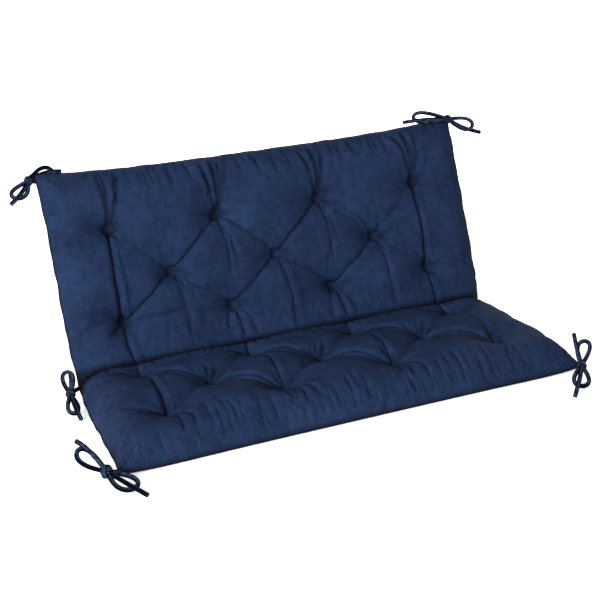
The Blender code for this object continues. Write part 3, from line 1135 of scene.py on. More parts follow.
class Graph:
    """The node tree of one material, built up by expressions on signals."""

    def __init__(self, name: str) -> None:
        """Makes the material with its Principled shader and output.

        Args:
            name: the material's name.
        """
        self.material = bpy.data.materials.new(name)
        self.material.use_nodes = True
        self.tree = self.material.node_tree
        self.shader = self.tree.nodes["Principled BSDF"]

    def node(
        self,
        kind: str,
        settings: dict | None = None,
        *values: "Signal | float | tuple",
        output: int | str = 0,
        **named: "Signal | float | tuple",
    ) -> Signal:
        """One node of any kind.

        Args:
            kind: the node's type.
            settings: its properties, set first.
            values: values or links of its first sockets, in order.
            output: the socket whose signal is returned.
            named: values or links of sockets by name, with _ for a space.

        Returns:
            The signal of the chosen output.
        """
        made = self.tree.nodes.new(kind)
        for key, value in (settings or {}).items():
            setattr(made, key, value)
        pairs = list(zip(made.inputs, values))
        pairs += [(made.inputs[key.replace("_", " ")], v) for key, v in named.items()]
        for socket, value in pairs:
            self.feed(socket, value)
        return Signal(self, made.outputs[output])

    def feed(self, socket: bpy.types.NodeSocket, value: "Signal | float | tuple") -> None:
        """Links a signal to a socket, or sets the socket's own value.

        Args:
            socket: the socket that is fed.
            value: the signal, number or colour.
        """
        if isinstance(value, Signal):
            self.tree.links.new(value.socket, socket)
        else:
            socket.default_value = value

    def mixed(self, share: "Signal | float", first: tuple, second: tuple) -> Signal:
        """Two colours mixed.

        Args:
            share: the second colour's share.
            first: a colour.
            second: another.

        Returns:
            The mixed colour.
        """
        made = self.tree.nodes.new("ShaderNodeMix")
        made.data_type = "RGBA"
        for index, value in ((0, share), (6, first), (7, second)):
            self.feed(made.inputs[index], value)
        return Signal(self, made.outputs[2])

    def chart(self, scale: Point = (1.0, 1.0, 1.0)) -> Signal:
        """The place on the cloth in metres, from the UV map, stretched by scale."""
        place = self.node("ShaderNodeUVMap", {"uv_map": "cloth"})
        return self.node("ShaderNodeMapping", {"vector_type": "POINT"}, Vector=place, Scale=scale)

    def noise(self, place: Signal, scale: float, detail: float) -> Signal:
        """Smooth noise from 0 to 1 at a place."""
        sizes = {"Scale": scale, "Detail": detail}
        return self.node("ShaderNodeTexNoise", {"noise_dimensions": "2D"}, Vector=place, **sizes)

    def kept(self, name: str) -> Signal:
        """A number that the piece's mesh keeps for each vertex."""
        return self.node("ShaderNodeAttribute", {"attribute_name": name}, output="Fac")

    def split(self, place: Signal) -> tuple[Signal, Signal]:
        """The first two numbers of a place."""
        made = self.node("ShaderNodeSeparateXYZ", None, Vector=place)
        return made, Signal(self, made.socket.node.outputs["Y"])

    def woven(self, across: Signal, along: Signal, thread: float) -> Signal:
        """Plain weave: half of each thread set's squared sine plus 0.35 of their product."""
        warp, weft = ((way * (math.pi / thread)).sine() for way in (across, along))
        return warp * warp * 0.5 + weft * weft * 0.5 + warp * weft * 0.35

    def bump(
        self, height: Signal, distance: float, strength: float, under: Signal | None = None
    ) -> Signal:
        """A normal tilted by a height.

        Args:
            height: the height, from 0 to 1.
            distance: the metres that 1 stands for.
            strength: how strongly it shows.
            under: another bump that it lies on.

        Returns:
            The tilted normal.
        """
        values = {"Strength": strength, "Distance": distance, "Height": height}
        if under is not None:
            values["Normal"] = under
        return self.node("ShaderNodeBump", None, **values)

    def finish(self, **sockets: "Signal | float | tuple") -> bpy.types.Material:
        """Sets or links the shader's sockets.

        Args:
            sockets: values or links by name, with _ for a space.

        Returns:
            The material.
        """
        for key, value in sockets.items():
            self.feed(self.shader.inputs[key.replace("_", " ")], value)
        return self.material


@dataclass(frozen=True)
class WovenCloth:
    """Plain-woven navy polyester: matt, with fine threads and faint slubs.

    `clouds` are three noises of the tint, each by its scale, detail and share. The slubs
    are `slub` wide and `slub_run` long, and `upright` times that along the cloth. They
    change the tint, the height and the roughness by so much. Shade is painted into the
    colour in the creases, in the tufts' pits, along the seam and in the groove at the fold.
    """

    name: str
    colour: Point = (0.0078, 0.0176, 0.0490)
    shade: Point = (0.0028, 0.0076, 0.0226)
    # Colour of the shade painted into creases, tufts' pits, the seam and the groove.
    painted_shade: Point = (0.0016, 0.0030, 0.0090)
    roughness: float = 0.90
    shine: float = 0.08
    thread: float = 0.0011
    thread_height: float = 0.00022
    slub: float = 0.0015
    slub_run: float = 0.030
    upright: float = 0.6
    slub_tint: float = 2.0
    slub_height: float = 0.8
    slub_rough: float = 0.12
    weave_strength: float = 0.6
    clouds: tuple[Point, ...] = ((9.0, 3.0, 1.1), (46.0, 2.0, 0.9), (210.0, 1.0, 0.6))
    rumple: float = 0.014
    rumple_height: float = 0.0010
    line_width: float = 0.0016
    line_sides: Place = (1.6, 3.4)
    line_depth: float = 0.0036
    # Share of shade painted along each fold's line.
    line_painted_shade: float = 0.60

    def material(self) -> bpy.types.Material:
        """Plain weave over slubs, folds' lines and rumples.

        Shade is painted into the colour as far as the piece's kept shade attribute says, and
        along the folds' lines, whose trough is steep on one side and wider on the ridge's side.

        Returns:
            The material.
        """
        graph = Graph(self.name)
        place = graph.chart()
        threads = graph.woven(*graph.split(place), self.thread)
        stretch = self.slub / self.slub_run
        upright = graph.chart((1.0, stretch * self.upright, 1.0))
        upright = graph.noise(upright, self.upright / self.slub, 2.0)
        level = graph.noise(graph.chart((stretch, 1.0, 1.0)), 1 / self.slub, 2.0)
        slubs = (upright + level) * 0.5
        tint = (slubs - 0.5) * self.slub_tint
        for scale, detail, share in self.clouds:
            tint = tint + (graph.noise(place, scale, detail) - 0.5) * share
        tint = (tint + 0.5).held()
        plain = graph.mixed(tint, (*self.shade, 1.0), (*self.colour, 1.0))
        gap, crease = graph.kept("gap"), graph.kept("crease")
        # Painted shade: the piece's kept shade plus a painted shade line along each fold.
        line = gap.bell(self.line_width) * crease
        shade_share = (graph.kept("painted_shade") + line * self.line_painted_shade).held()
        colour = graph.mixed(shade_share, plain, (*self.painted_shade, 1.0))
        rumples = graph.noise(place, 1 / self.rumple, 3.0)
        soft = graph.bump(rumples, self.rumple_height, 1.0)
        steep_side, lit_side = (self.line_width * side for side in self.line_sides)
        steep = gap.maths("MINIMUM", gap, 0.0).bell(steep_side)
        lit = gap.maths("MAXIMUM", gap, 0.0).bell(lit_side)
        creased = graph.bump(steep * lit * crease * -1.0, self.line_depth, 1.0, soft)
        weave = threads + slubs * self.slub_height
        woven = graph.bump(weave, self.thread_height, self.weave_strength, creased)
        rough = (slubs * self.slub_rough + (self.roughness - self.slub_rough / 2)).held()
        looks = {"Base_Color": colour, "Roughness": rough, "Normal": woven}
        return graph.finish(**looks, Specular_IOR_Level=self.shine)


@dataclass(frozen=True)
class FoldedTape:
    """The straps' cloth: the cushion's navy, folded to a tape and stitched down one edge.

    `cloud` is the tint's noise by its scale, detail, contrast and middle. The edge shade
    pair is a factor on the squared cosine that paints shade along the edges, and what is
    taken off it, and `edge` is the colour of that painted shade.
    """

    name: str
    colour: Point = (0.0222, 0.0325, 0.0590)
    shade: Point = (0.0030, 0.0054, 0.0140)
    # Colour of the shade painted along both folded edges.
    edge: Point = (0.0004, 0.0008, 0.0024)
    roughness: float = 0.86
    shine: float = 0.02
    thread: float = 0.0009
    thread_height: float = 0.00018
    weave_strength: float = 0.6
    cloud: tuple[float, float, float, float] = (210.0, 2.0, 3.0, 0.45)
    cloud_stretch: float = 0.35
    cloud_height: float = 1.5
    cloud_rough: float = 0.1
    painted_edge_shade: Place = (2.4, 0.40)
    girth: float = STRAP_GIRTH
    stitch_run: float = 0.0032
    stitch_depth: float = 0.0006
    stitch_angle: float = 0.55
    stitch_power: float = 60.0

    def material(self) -> bpy.types.Material:
        """Fine weave, with shade painted along both folded edges, and a line of stitches.

        The share of the way round is 0 at one folded edge and a half at the other, so
        the squared cosine of its angle is high along both edges. The stitches are half
        of 1 less the sine of the angle less `stitch_angle`, to the `stitch_power`.

        Returns:
            The material.
        """
        graph = Graph(self.name)
        across, along = graph.split(graph.chart())
        threads = graph.woven(across, along, self.thread)
        scale, detail, contrast, middle = self.cloud
        cloudy = graph.noise(graph.chart((1.0, self.cloud_stretch, 1.0)), scale, detail)
        tint = ((cloudy - 0.5) * contrast + middle).held()
        plain = graph.mixed(tint, (*self.shade, 1.0), (*self.colour, 1.0))
        angle = across * (math.tau / self.girth)
        near_edge = (angle + math.pi / 2).sine()
        # Painted shade along both folded edges.
        edges = near_edge * near_edge * self.painted_edge_shade[0] - self.painted_edge_shade[1]
        colour = graph.mixed(edges.held(), plain, (*self.edge, 1.0))
        row = ((angle - self.stitch_angle).sine() * -1.0 + 1.0) * 0.5
        dash = ((along * (math.tau / self.stitch_run)).sine() * 3.0).held()
        sunk = (row**self.stitch_power).held() * dash
        weave = threads + cloudy * self.cloud_height
        cloth = graph.bump(weave, self.thread_height, self.weave_strength)
        sewn = graph.bump(sunk * -1.0, self.stitch_depth, 0.8, cloth)
        rough = (cloudy * self.cloud_rough + (self.roughness - self.cloud_rough / 2)).held()
        looks = {"Base_Color": colour, "Roughness": rough, "Normal": sewn}
        return graph.finish(**looks, Specular_IOR_Level=self.shine)


# ------------------------------------------------------------------ the padded cushion


@dataclass
class Filling:
    """The padding's push on the cloth, found by a short cloth simulation on a coarse copy.

    The cloth is held at the seams, the tufts, the fold and where it rests, and is cut a
    little larger than the form, so that it puckers between them.
    """

    pressure: float = 4.0
    frames: int = 20
    slack: float = 0.014
    bending: float = 0.08
    cap: float = 0.022

    def settle(
        self, inner: Array, outer: Array, held: Array, held_under: Array
    ) -> tuple[Array, Array]:
        """Runs the simulation.

        Args:
            inner: the coarse grid of the padded face.
            outer: the coarse grid of the other face.
            held: how firmly each point of the padded face is held, from 0 to 1.
            held_under: the same for the other face.

        Returns:
            How far each point of either grid moves, capped by a hyperbolic tangent.
        """
        rows, columns = inner.shape[:2]
        count = rows * columns
        near, far = rim(rows, columns), rim(rows, columns) + count
        edge = np.stack([far, np.roll(far, -1), np.roll(near, -1), near], axis=-1)
        points = np.concatenate([inner.reshape(-1, 3), outer.reshape(-1, 3)])
        under = quads(rows, columns)[:, ::-1] + count
        made = mesh_object("filling", points, [quads(rows, columns), under, edge])
        weights = np.round(np.concatenate([held.ravel(), held_under.ravel()]) * 10).astype(int)
        group = made.vertex_groups.new(name="held")
        for level in range(1, 11):
            group.add(np.flatnonzero(weights == level).tolist(), level / 10, "REPLACE")
        self.press(made)
        scene = bpy.context.scene
        for frame in range(1, self.frames + 1):
            scene.frame_set(frame)
        settled = made.evaluated_get(bpy.context.evaluated_depsgraph_get()).to_mesh()
        where = np.empty(len(points) * 3, np.float32)
        settled.vertices.foreach_get("co", where)
        mesh = made.data
        bpy.data.objects.remove(made)
        bpy.data.meshes.remove(mesh)
        scene.frame_set(1)
        moved = where.reshape(-1, 3) - points
        far_moved = np.linalg.norm(moved, axis=-1, keepdims=True)
        capped = moved * self.cap * np.tanh(far_moved / self.cap) / np.maximum(far_moved, 1e-9)
        log.info("filling: moved %.1f mm at most", 1000 * far_moved.max())
        return capped[:count].reshape(inner.shape), capped[count:].reshape(inner.shape)

    def press(self, made: bpy.types.Object) -> None:
        """Sets the cloth up: held points, pressure from inside, no gravity, no contact.

        Args:
            made: the coarse copy.
        """
        cloth = made.modifiers.new("cloth", "CLOTH")
        settings = cloth.settings
        settings.quality = 5
        settings.vertex_group_mass = "held"
        settings.use_pressure = True
        settings.uniform_pressure_force = self.pressure
        settings.shrink_min = settings.shrink_max = -self.slack
        settings.bending_stiffness = self.bending
        settings.effector_weights.gravity = 0.0
        cloth.collision_settings.use_collision = False
        cloth.point_cache.frame_start = 1
        cloth.point_cache.frame_end = self.frames


@dataclass
class Cushion:
    """The cushion as one closed padded mesh: formed, filled, then creased and sewn.

    Each of the `held` pairs is the distance at which the filling's hold starts to fall and
    the width over which it does, and `groove_reach` and `rest_reach` are such pairs for
    the rise of the folds' depth. The `keep` shares are what is left of that depth.
    """

    form: CushionForm = field(default_factory=CushionForm)
    finish: WovenCloth = field(default_factory=lambda: WovenCloth("navy cloth"))
    filling: Filling = field(default_factory=Filling)
    creases: Creases = field(init=False)
    middle_cells: int = 17
    side_cells: int = 20
    front_cells: int = 17
    row_cells: int = 17
    fold_cells: tuple[int, int] = (12, 15)
    top_cells: int = 20
    lip_width: float = 0.0026
    lip_ripple: Place = (0.06, 0.08)
    lip_rates: Place = (1.3, 0.47)
    held_seam: Place = (0.001, 0.012)
    held_tuft: Place = (0.006, 0.014)
    held_fold: Place = (0.045, 0.080)
    seam_keep: float = 0.20
    seam_reach: float = 0.015
    groove_keep: float = 0.15
    groove_reach: Place = (0.030, 0.030)
    rest_reach: Place = (0.02, 0.06)
    outer_keep: float = 0.8
    outer_widen: float = 1.7
    # Shade painted along the seam and in the groove at the fold: how much, and over what width.
    seam_painted_shade: float = 0.90
    seam_painted_shade_width: float = 0.0070
    groove_painted_shade: float = 0.97
    groove_painted_shade_width: float = 0.050

    def __post_init__(self) -> None:
        """Lays the creases out on the form."""
        self.creases = Creases(self.form)

    def lines(self) -> tuple[Array, Array]:
        """The coarse grid's lines.

        Returns:
            The lines across, as shares of the half width, and the lines along.
        """
        form = self.form
        marks = np.arange(4) * form.tuft_pitch / 2 / (form.width / 2)
        right = [even(a, b, self.middle_cells) for a, b in zip(marks, marks[1:])]
        right = np.concatenate([*right, crowded(marks[-1], 1.0, self.side_cells)])
        across = np.concatenate([-right[::-1], [0.0], right])
        at = [form.cloth_place(row) for row in form.rows]
        front = -crowded(-at[0], form.seat_depth, self.front_cells)[::-1]
        stops, two_rows = [*at[:3], 0.0, *at[3:]], (self.row_cells, self.row_cells)
        cells = (*two_rows, *self.fold_cells, *two_rows)
        body = [even(a, b, n) for a, b, n in zip(stops, stops[1:], cells)]
        top = crowded(at[-1], form.back_length, self.top_cells)
        return across, np.concatenate([front, [at[0]], *body, top])

    def build(self) -> bpy.types.Object:
        """Makes the cushion, with its filling, creases and seam.

        The inner face is on the fine grid and the outer one on the coarse grid.

        Returns:
            The cushion, in the scene.
        """
        across, along = self.lines()
        fine = np.meshgrid(doubled(across), doubled(along))
        coarse = np.meshgrid(across, along)
        inner, outer = self.form.inner(*fine), self.form.outer(*coarse)
        held = (self.held(*coarse, 1.0), self.held(*coarse, -1.0))
        pushed, pushed_under = self.filling.settle(self.form.inner(*coarse), outer, *held)
        pushed = doubled(doubled(pushed).swapaxes(0, 1)).swapaxes(0, 1)
        inner, outer = inner + pushed, outer + pushed_under
        inner, inner_marks = self.creased(*fine, inner, 1.0)
        outer, outer_marks = self.creased(*coarse, outer, -1.0)
        inner_rim = rim(*fine[0].shape)
        outer_rim = rim(*coarse[0].shape) + fine[0].size
        points = np.concatenate([inner.reshape(-1, 3), outer.reshape(-1, 3)])
        lip, lip_under = self.lip(points[inner_rim], points[outer_rim])
        lip_rim = np.arange(len(lip)) + len(points)
        lip_under_rim = np.arange(len(lip_under)) + len(points) + len(lip)
        after = [np.roll(lip_rim, -step)[::2] for step in (2, 1, 0)]
        faces = [
            split(points, quads(*fine[0].shape)),
            quads(*coarse[0].shape)[:, ::-1] + fine[0].size,
            strip(inner_rim, lip_rim),
            strip(lip_under_rim, outer_rim),
            np.stack([lip_under_rim, np.roll(lip_under_rim, -1), *after], axis=-1),
        ]
        made = mesh_object("bench_cushion", np.concatenate([points, lip, lip_under]), faces)
        rims = np.concatenate([np.arange(len(points)), inner_rim, outer_rim])
        cloth = np.concatenate([self.cloth(*fine), self.cloth(*coarse)])[rims]
        lay_out(made.data, cloth[np.concatenate([group.ravel() for group in faces])])
        # The painted shade, the gap to the strongest fold's line and the crease, kept for the
        # material.
        for name in ("painted_shade", "gap", "crease"):
            both = [getattr(marks, name).ravel() for marks in (inner_marks, outer_marks)]
            mark(made.data, name, np.concatenate(both)[rims])
        made.data.materials.append(self.finish.material())
        return made

    def lip(self, near: Array, far: Array) -> tuple[Array, Array]:
        """The sewn edge where the two panels meet, a narrow lip past the padded faces.

        Each point steps out by the lip's width, with a small ripple from the stitches, and
        in by a sixth of the seam's thickness towards the other panel.

        Args:
            near: the padded face's rim.
            far: the other face's rim, one point for every two.

        Returns:
            The lip's edge on either side.
        """
        steps = np.arange(len(near))
        across = np.repeat(near[::2] - far, 2, axis=0)
        run = unit(np.roll(near, -3, axis=0) - np.roll(near, 3, axis=0))
        out = unit(np.cross(run, unit(across)))
        slow = self.lip_ripple[1] * np.sin(self.lip_rates[1] * steps + 1.0)
        wave = 1.0 + self.lip_ripple[0] * np.sin(self.lip_rates[0] * steps) + slow
        lip = near + out * (self.lip_width * wave)[:, None] - across / 6
        under = far + (lip - near)[::2] + across[::2] / 3
        return lip, under

    def held(self, u: Array, s: Array, facing: float) -> Array:
        """How firmly the filling's cloth is held.

        Args:
            u: the shares of the half width.
            s: the places along the cloth.
            facing: 1 for the inner face, -1 for the outer.

        Returns:
            1 at the seams, at the tufts and in the fold, down to 0 within 12 mm, 14 mm and
            80 mm of them, and 1 wherever the underside rests.
        """
        form = self.form
        x = u * form.half_width(u, s)
        to_seam = np.minimum(*form.edge_distances(x, u, s))
        spans = (self.held_seam, self.held_tuft, self.held_fold)
        gaps = (to_seam, form.to_tuft(x, s), np.abs(s))
        held = np.max([1.0 - smooth(gap, *span) for gap, span in zip(gaps, spans)], axis=0)
        return np.where((facing < 0) & (s < 0), 1.0, held)

    def cloth(self, u: Array, s: Array) -> Array:
        """The places on the cloth, in metres, one row for each vertex."""
        return np.stack([u * self.form.half_width(u, s), s], axis=-1).reshape(-1, 2)

    def creased(
        self, u: Array, s: Array, points: Array, facing: float
    ) -> tuple[Array, Marked]:
        """One face with its folds, moved along its normals.

        The folds keep `seam_keep` of their depth at the seam and `groove_keep` in the
        groove, and none where the underside rests. Shade is painted along the seam and in the
        groove.

        Args:
            u: the shares of the half width.
            s: the places along the cloth.
            points: the face's smooth points.
            facing: 1 for the inner face, -1 for the outer, whose folds are softer.

        Returns:
            The moved points, and the folds' marks on them.
        """
        x = u * self.form.half_width(u, s)
        marks = self.creases.relief(x, s, 1.0 if facing > 0 else self.outer_widen)
        edges = (points[:1], points[-1:], points[:, :1], points[:, -1:])
        to_edge = np.min([np.linalg.norm(points - edge, axis=-1) for edge in edges], axis=0)
        kept = self.seam_keep + (1.0 - self.seam_keep) * smooth(to_edge / self.seam_reach)
        groove = 0.0
        if facing > 0:
            clear = smooth(np.abs(s), *self.groove_reach)
            kept = kept * (self.groove_keep + (1.0 - self.groove_keep) * clear)
            # Painted shade in the groove at the fold.
            groove = self.groove_painted_shade * np.exp(-((s / self.groove_painted_shade_width) ** 8))
        else:
            kept = kept * smooth(s, *self.rest_reach) * self.outer_keep
        moved = np.where(to_edge > 1e-6, marks.moved * kept, 0.0)
        # Painted shade along the seam, joined with the folds' and the groove's painted shade.
        seam = self.seam_painted_shade * np.exp(-to_edge / self.seam_painted_shade_width)
        painted_shade = np.maximum(marks.painted_shade * kept, np.maximum(seam, groove))
        marks = Marked(moved, painted_shade, marks.gap, marks.crease * kept)
        return points + (facing * moved)[..., None] * grid_normals(points), marks


# ---------------------------------------------------------------------------- the ties


def swept(
    centres: Array, wide: Array, widths: Array, thicknesses: Array, closed: bool = False
) -> tuple[Array, list[Array], Array]:
    """A flattened tube along a path, as a tape folded round itself has.

    Each ring is a superellipse of power p = `TUBE_POWER`: half the width times the
    cosine's power 2 / p along the wide way, and half the thickness times the sine's
    across it.

    Args:
        centres: the ring centres, one row each.
        wide: a vector for each ring that its width leans to.
        widths: each ring's width.
        thicknesses: each ring's thickness.
        closed: whether the last ring joins the first.

    Returns:
        The points, the groups of faces, and the place (around, along) of each corner.
    """
    if closed:
        run = np.roll(centres, -1, axis=0) - np.roll(centres, 1, axis=0)
    else:
        run = np.gradient(centres, axis=0)
    run = unit(run)
    across = unit(wide - (wide * run).sum(-1, keepdims=True) * run)
    angle = math.tau * np.arange(TUBE_SIDES) / TUBE_SIDES
    flat, tall = (
        np.sign(part) * np.abs(part) ** (2 / TUBE_POWER) for part in (np.cos(angle), np.sin(angle))
    )
    offset = across[:, None] * (widths[:, None] / 2 * flat)[..., None]
    offset = offset + np.cross(run, across)[:, None] * (thicknesses[:, None] / 2 * tall)[..., None]
    points = centres[:, None] + offset
    rings = len(centres)
    index = np.arange(rings * TUBE_SIDES).reshape(rings, TUBE_SIDES)
    cells = rings if closed else rings - 1
    this, after = index[:cells], np.roll(index, -1, axis=0)[:cells]
    sides = np.stack([this, np.roll(this, -1, 1), np.roll(after, -1, 1), after], axis=-1)
    step = np.linalg.norm(np.diff(centres, axis=0, append=centres[:1]), axis=-1)
    along = np.concatenate([[0.0], np.cumsum(step)])[: rings + 1]
    girth = STRAP_GIRTH * np.arange(TUBE_SIDES + 1) / TUBE_SIDES
    low, high = np.meshgrid(along[:cells], girth[:-1], indexing="ij")
    far, next_round = np.meshgrid(along[1 : cells + 1], girth[1:], indexing="ij")
    corners = [(low, high), (low, next_round), (far, next_round), (far, high)]
    places = np.stack([np.stack([b, a], axis=-1) for a, b in corners], axis=2).reshape(-1, 2)
    groups = [sides.reshape(-1, 4)]
    if not closed:
        groups.append(np.stack([index[0, ::-1], index[-1]]))
        places = np.concatenate([places, np.tile([TAPE_END], (2 * TUBE_SIDES, 1))])
    return points.reshape(-1, 3), groups, places


@dataclass(frozen=True)
class Strap:
    """One strap of a bow: sewn to the seam, round its loop through the knot, to its tail.

    All four vectors run from the knot: to the loop's far end, half the loop's width, to
    the tail's end, and how far the tail bows aside. The width leans by `turn` degrees, and
    by `twist` more and less along the strap, and `pinch` is the share of the width and of
    the thickness that is lost at the knot. It leaves the seam by way of the `root` places.
    """

    loop: Point
    half: Point
    tail: Point
    bend: Point
    turn: float = 72.0
    twist: float = 16.0
    width: float = 0.0108
    thickness: float = 0.0106
    pinch: Place = (0.20, 0.15)
    pinch_reach: float = 0.010
    root: Place = (0.0004, 0.008)
    step: float = 0.0026
    smoothings: int = 4

    def path(self, tip: Vector, outward: Vector, knot: Vector) -> Array:
        """The strap's middle line.

        From the seam it is a quadratic curve to the knot. The loop is the knot plus loop
        times cos a plus half times sin 2a, for a from -90 to 90 degrees. The tail is the
        knot plus tail times t plus bend times sin (180 t).

        Args:
            tip: where the strap is sewn on.
            outward: the way it leaves the seam.
            knot: the middle of the knot.

        Returns:
            Evenly spaced points, smoothed over the corners inside the knot.
        """
        start, middle = (np.array(tip + outward * reach) for reach in self.root)
        at = np.array(knot)
        t = np.linspace(0.0, 1.0, 20)[:, None]
        root = start * (1 - t) ** 2 + middle * 2 * t * (1 - t) + at * t**2
        a = np.linspace(-np.pi / 2, np.pi / 2, 80)[:, None]
        loop = at + np.array(self.loop) * np.cos(a) + np.array(self.half) * np.sin(2 * a)
        t = np.linspace(0.0, 1.0, 40)[:, None]
        tail = at + np.array(self.tail) * t + np.array(self.bend) * np.sin(np.pi * t)
        rough = np.concatenate([root, loop[1:], tail[1:]])
        steps = np.linalg.norm(np.diff(rough, axis=0), axis=-1)
        length = np.concatenate([[0.0], np.cumsum(steps)])
        places = np.linspace(0.0, length[-1], int(length[-1] / self.step))
        line = np.stack([np.interp(places, length, way) for way in rough.T], axis=-1)
        for _ in range(self.smoothings):
            line[1:-1] = (line[:-2] + 2 * line[1:-1] + line[2:]) / 4
        return line

    def build(
        self, name: str, tip: Vector, outward: Vector, knot: Vector
    ) -> tuple[bpy.types.Object, Array]:
        """Makes the strap.

        Args:
            name: the object's name.
            tip: where it is sewn on.
            outward: the way it leaves the seam.
            knot: the middle of the knot.

        Returns:
            The strap and its middle line.
        """
        line = self.path(tip, outward, knot)
        share = np.linspace(0.0, 1.0, len(line))
        plane = unit(np.cross(self.loop, self.half))
        run = unit(np.gradient(line, axis=0))
        flat = unit(plane - (run @ plane)[:, None] * run)
        side = np.cross(run, flat)
        angle = np.radians(self.turn + self.twist * np.sin(math.tau * share))[:, None]
        wide = flat * np.cos(angle) + side * np.sin(angle)
        near = bell(np.linalg.norm(line - np.array(knot), axis=-1), self.pinch_reach)
        widths = self.width * (1.0 - self.pinch[0] * near)
        thick = self.thickness * (1.0 - self.pinch[1] * near)
        points, groups, places = swept(line, wide, widths, thick)
        made = mesh_object(name, points, groups)
        lay_out(made.data, places)
        return made, line


@dataclass(frozen=True)
class Knot:
    """The knot of a bow: a closed core with two bands of the strap crossed round it.

    The second band is `inner_band` times as wide a ring, and both are `oval` times as
    deep. A band swells by `swell` of its width and rocks by `rock` on its way round.
    """

    radius: float = 0.0108
    band_width: float = 0.0104
    band_thickness: float = 0.0042
    crossing: float = 30.0
    inner_band: float = 0.88
    oval: float = 1.08
    swell: float = 0.10
    rock: float = 0.18
    core_share: float = 0.95
    core_reach: float = 0.985
    rings: int = 32
    core_rings: int = 13

    def build(self, name: str, at: Vector, way: Vector, up: Vector) -> bpy.types.Object:
        """Makes the knot.

        Each band is a ring about the way of the loops, leant over by the crossing angle,
        and the core is a round tube whose width follows the root of 1 - t squared.

        Args:
            name: the object's name.
            at: the knot's middle.
            way: the direction from one loop to the other.
            up: the direction that the bands cross in.

        Returns:
            The knot.
        """
        middle, axis = np.array(at), np.array(way.normalized())
        second = unit(np.array(up) - (np.array(up) @ axis) * axis)
        third = np.cross(axis, second)
        turn = math.tau * np.arange(self.rings)[:, None] / self.rings
        widths = self.band_width * (1.0 + self.swell * np.cos(2 * turn[:, 0]))
        thick = np.full(self.rings, self.band_thickness)
        pieces = []
        for lean, radius in ((1.0, self.radius), (-1.0, self.radius * self.inner_band)):
            slope = math.radians(self.crossing) * lean
            tilted = second * math.cos(slope) + axis * math.sin(slope)
            ring = middle + radius * (tilted * np.cos(turn) + third * self.oval * np.sin(turn))
            wide = np.cross(tilted, third) + self.rock * np.sin(turn + lean) * axis
            pieces.append(swept(ring, wide, widths, thick, closed=True))
        t = np.linspace(-self.core_reach, self.core_reach, self.core_rings)
        body = np.sqrt(1.0 - t**2) * 2 * self.radius
        line = middle + axis * (t * self.radius * self.core_share)[:, None]
        wide = np.tile(second, (self.core_rings, 1))
        pieces.append(swept(line, wide, body, body * self.core_share))
        starts = np.cumsum([0] + [len(points) for points, _, _ in pieces])
        groups = [group + start for start, piece in zip(starts, pieces) for group in piece[1]]
        made = mesh_object(name, np.concatenate([piece[0] for piece in pieces]), groups)
        lay_out(made.data, np.concatenate([piece[2] for piece in pieces]))
        return made


@dataclass(frozen=True)
class Bow:
    """Two straps sewn on side by side at one place of the seam and tied in a bow.

    `side` is -1 on the left and 1 on the right, and `along` is the place on the cloth. The
    knot is measured from the fold's middle.
    """

    node: str
    side: float
    along: float
    knot: Point
    first: Strap
    second: Strap
    shape: Knot = Knot()

    def build(self, form: CushionForm, finish: bpy.types.Material) -> None:
        """Makes both straps and the knot, and hands them over.

        Args:
            form: the cushion's surface.
            finish: the tape's material.
        """
        tip, outward = form.corner(self.side, self.along)
        knot = Vector(self.knot) + Vector((0.0, form.fold_y, 0.0))
        way = Vector(self.first.loop) - Vector(self.second.loop)
        up = Vector(self.first.half) + Vector(self.second.half) + Vector((0.0, 0.0, 0.004))
        tied = self.shape.build(f"{self.node}_knot", knot, way, up)
        self.hand_over(tied, finish)
        for number, strap in enumerate((self.first, self.second), 1):
            name = f"{self.node}_strap_{number}"
            made, line = strap.build(name, tip, outward, knot)
            self.hand_over(made, finish)

    def hand_over(self, piece: bpy.types.Object, finish: bpy.types.Material) -> None:
        """Dresses a piece and puts it in its node's place.

        Args:
            piece: a strap or the knot.
            finish: the tape's material.
        """
        piece.data.materials.append(finish)
        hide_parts(self.node)
        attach(piece, "root")


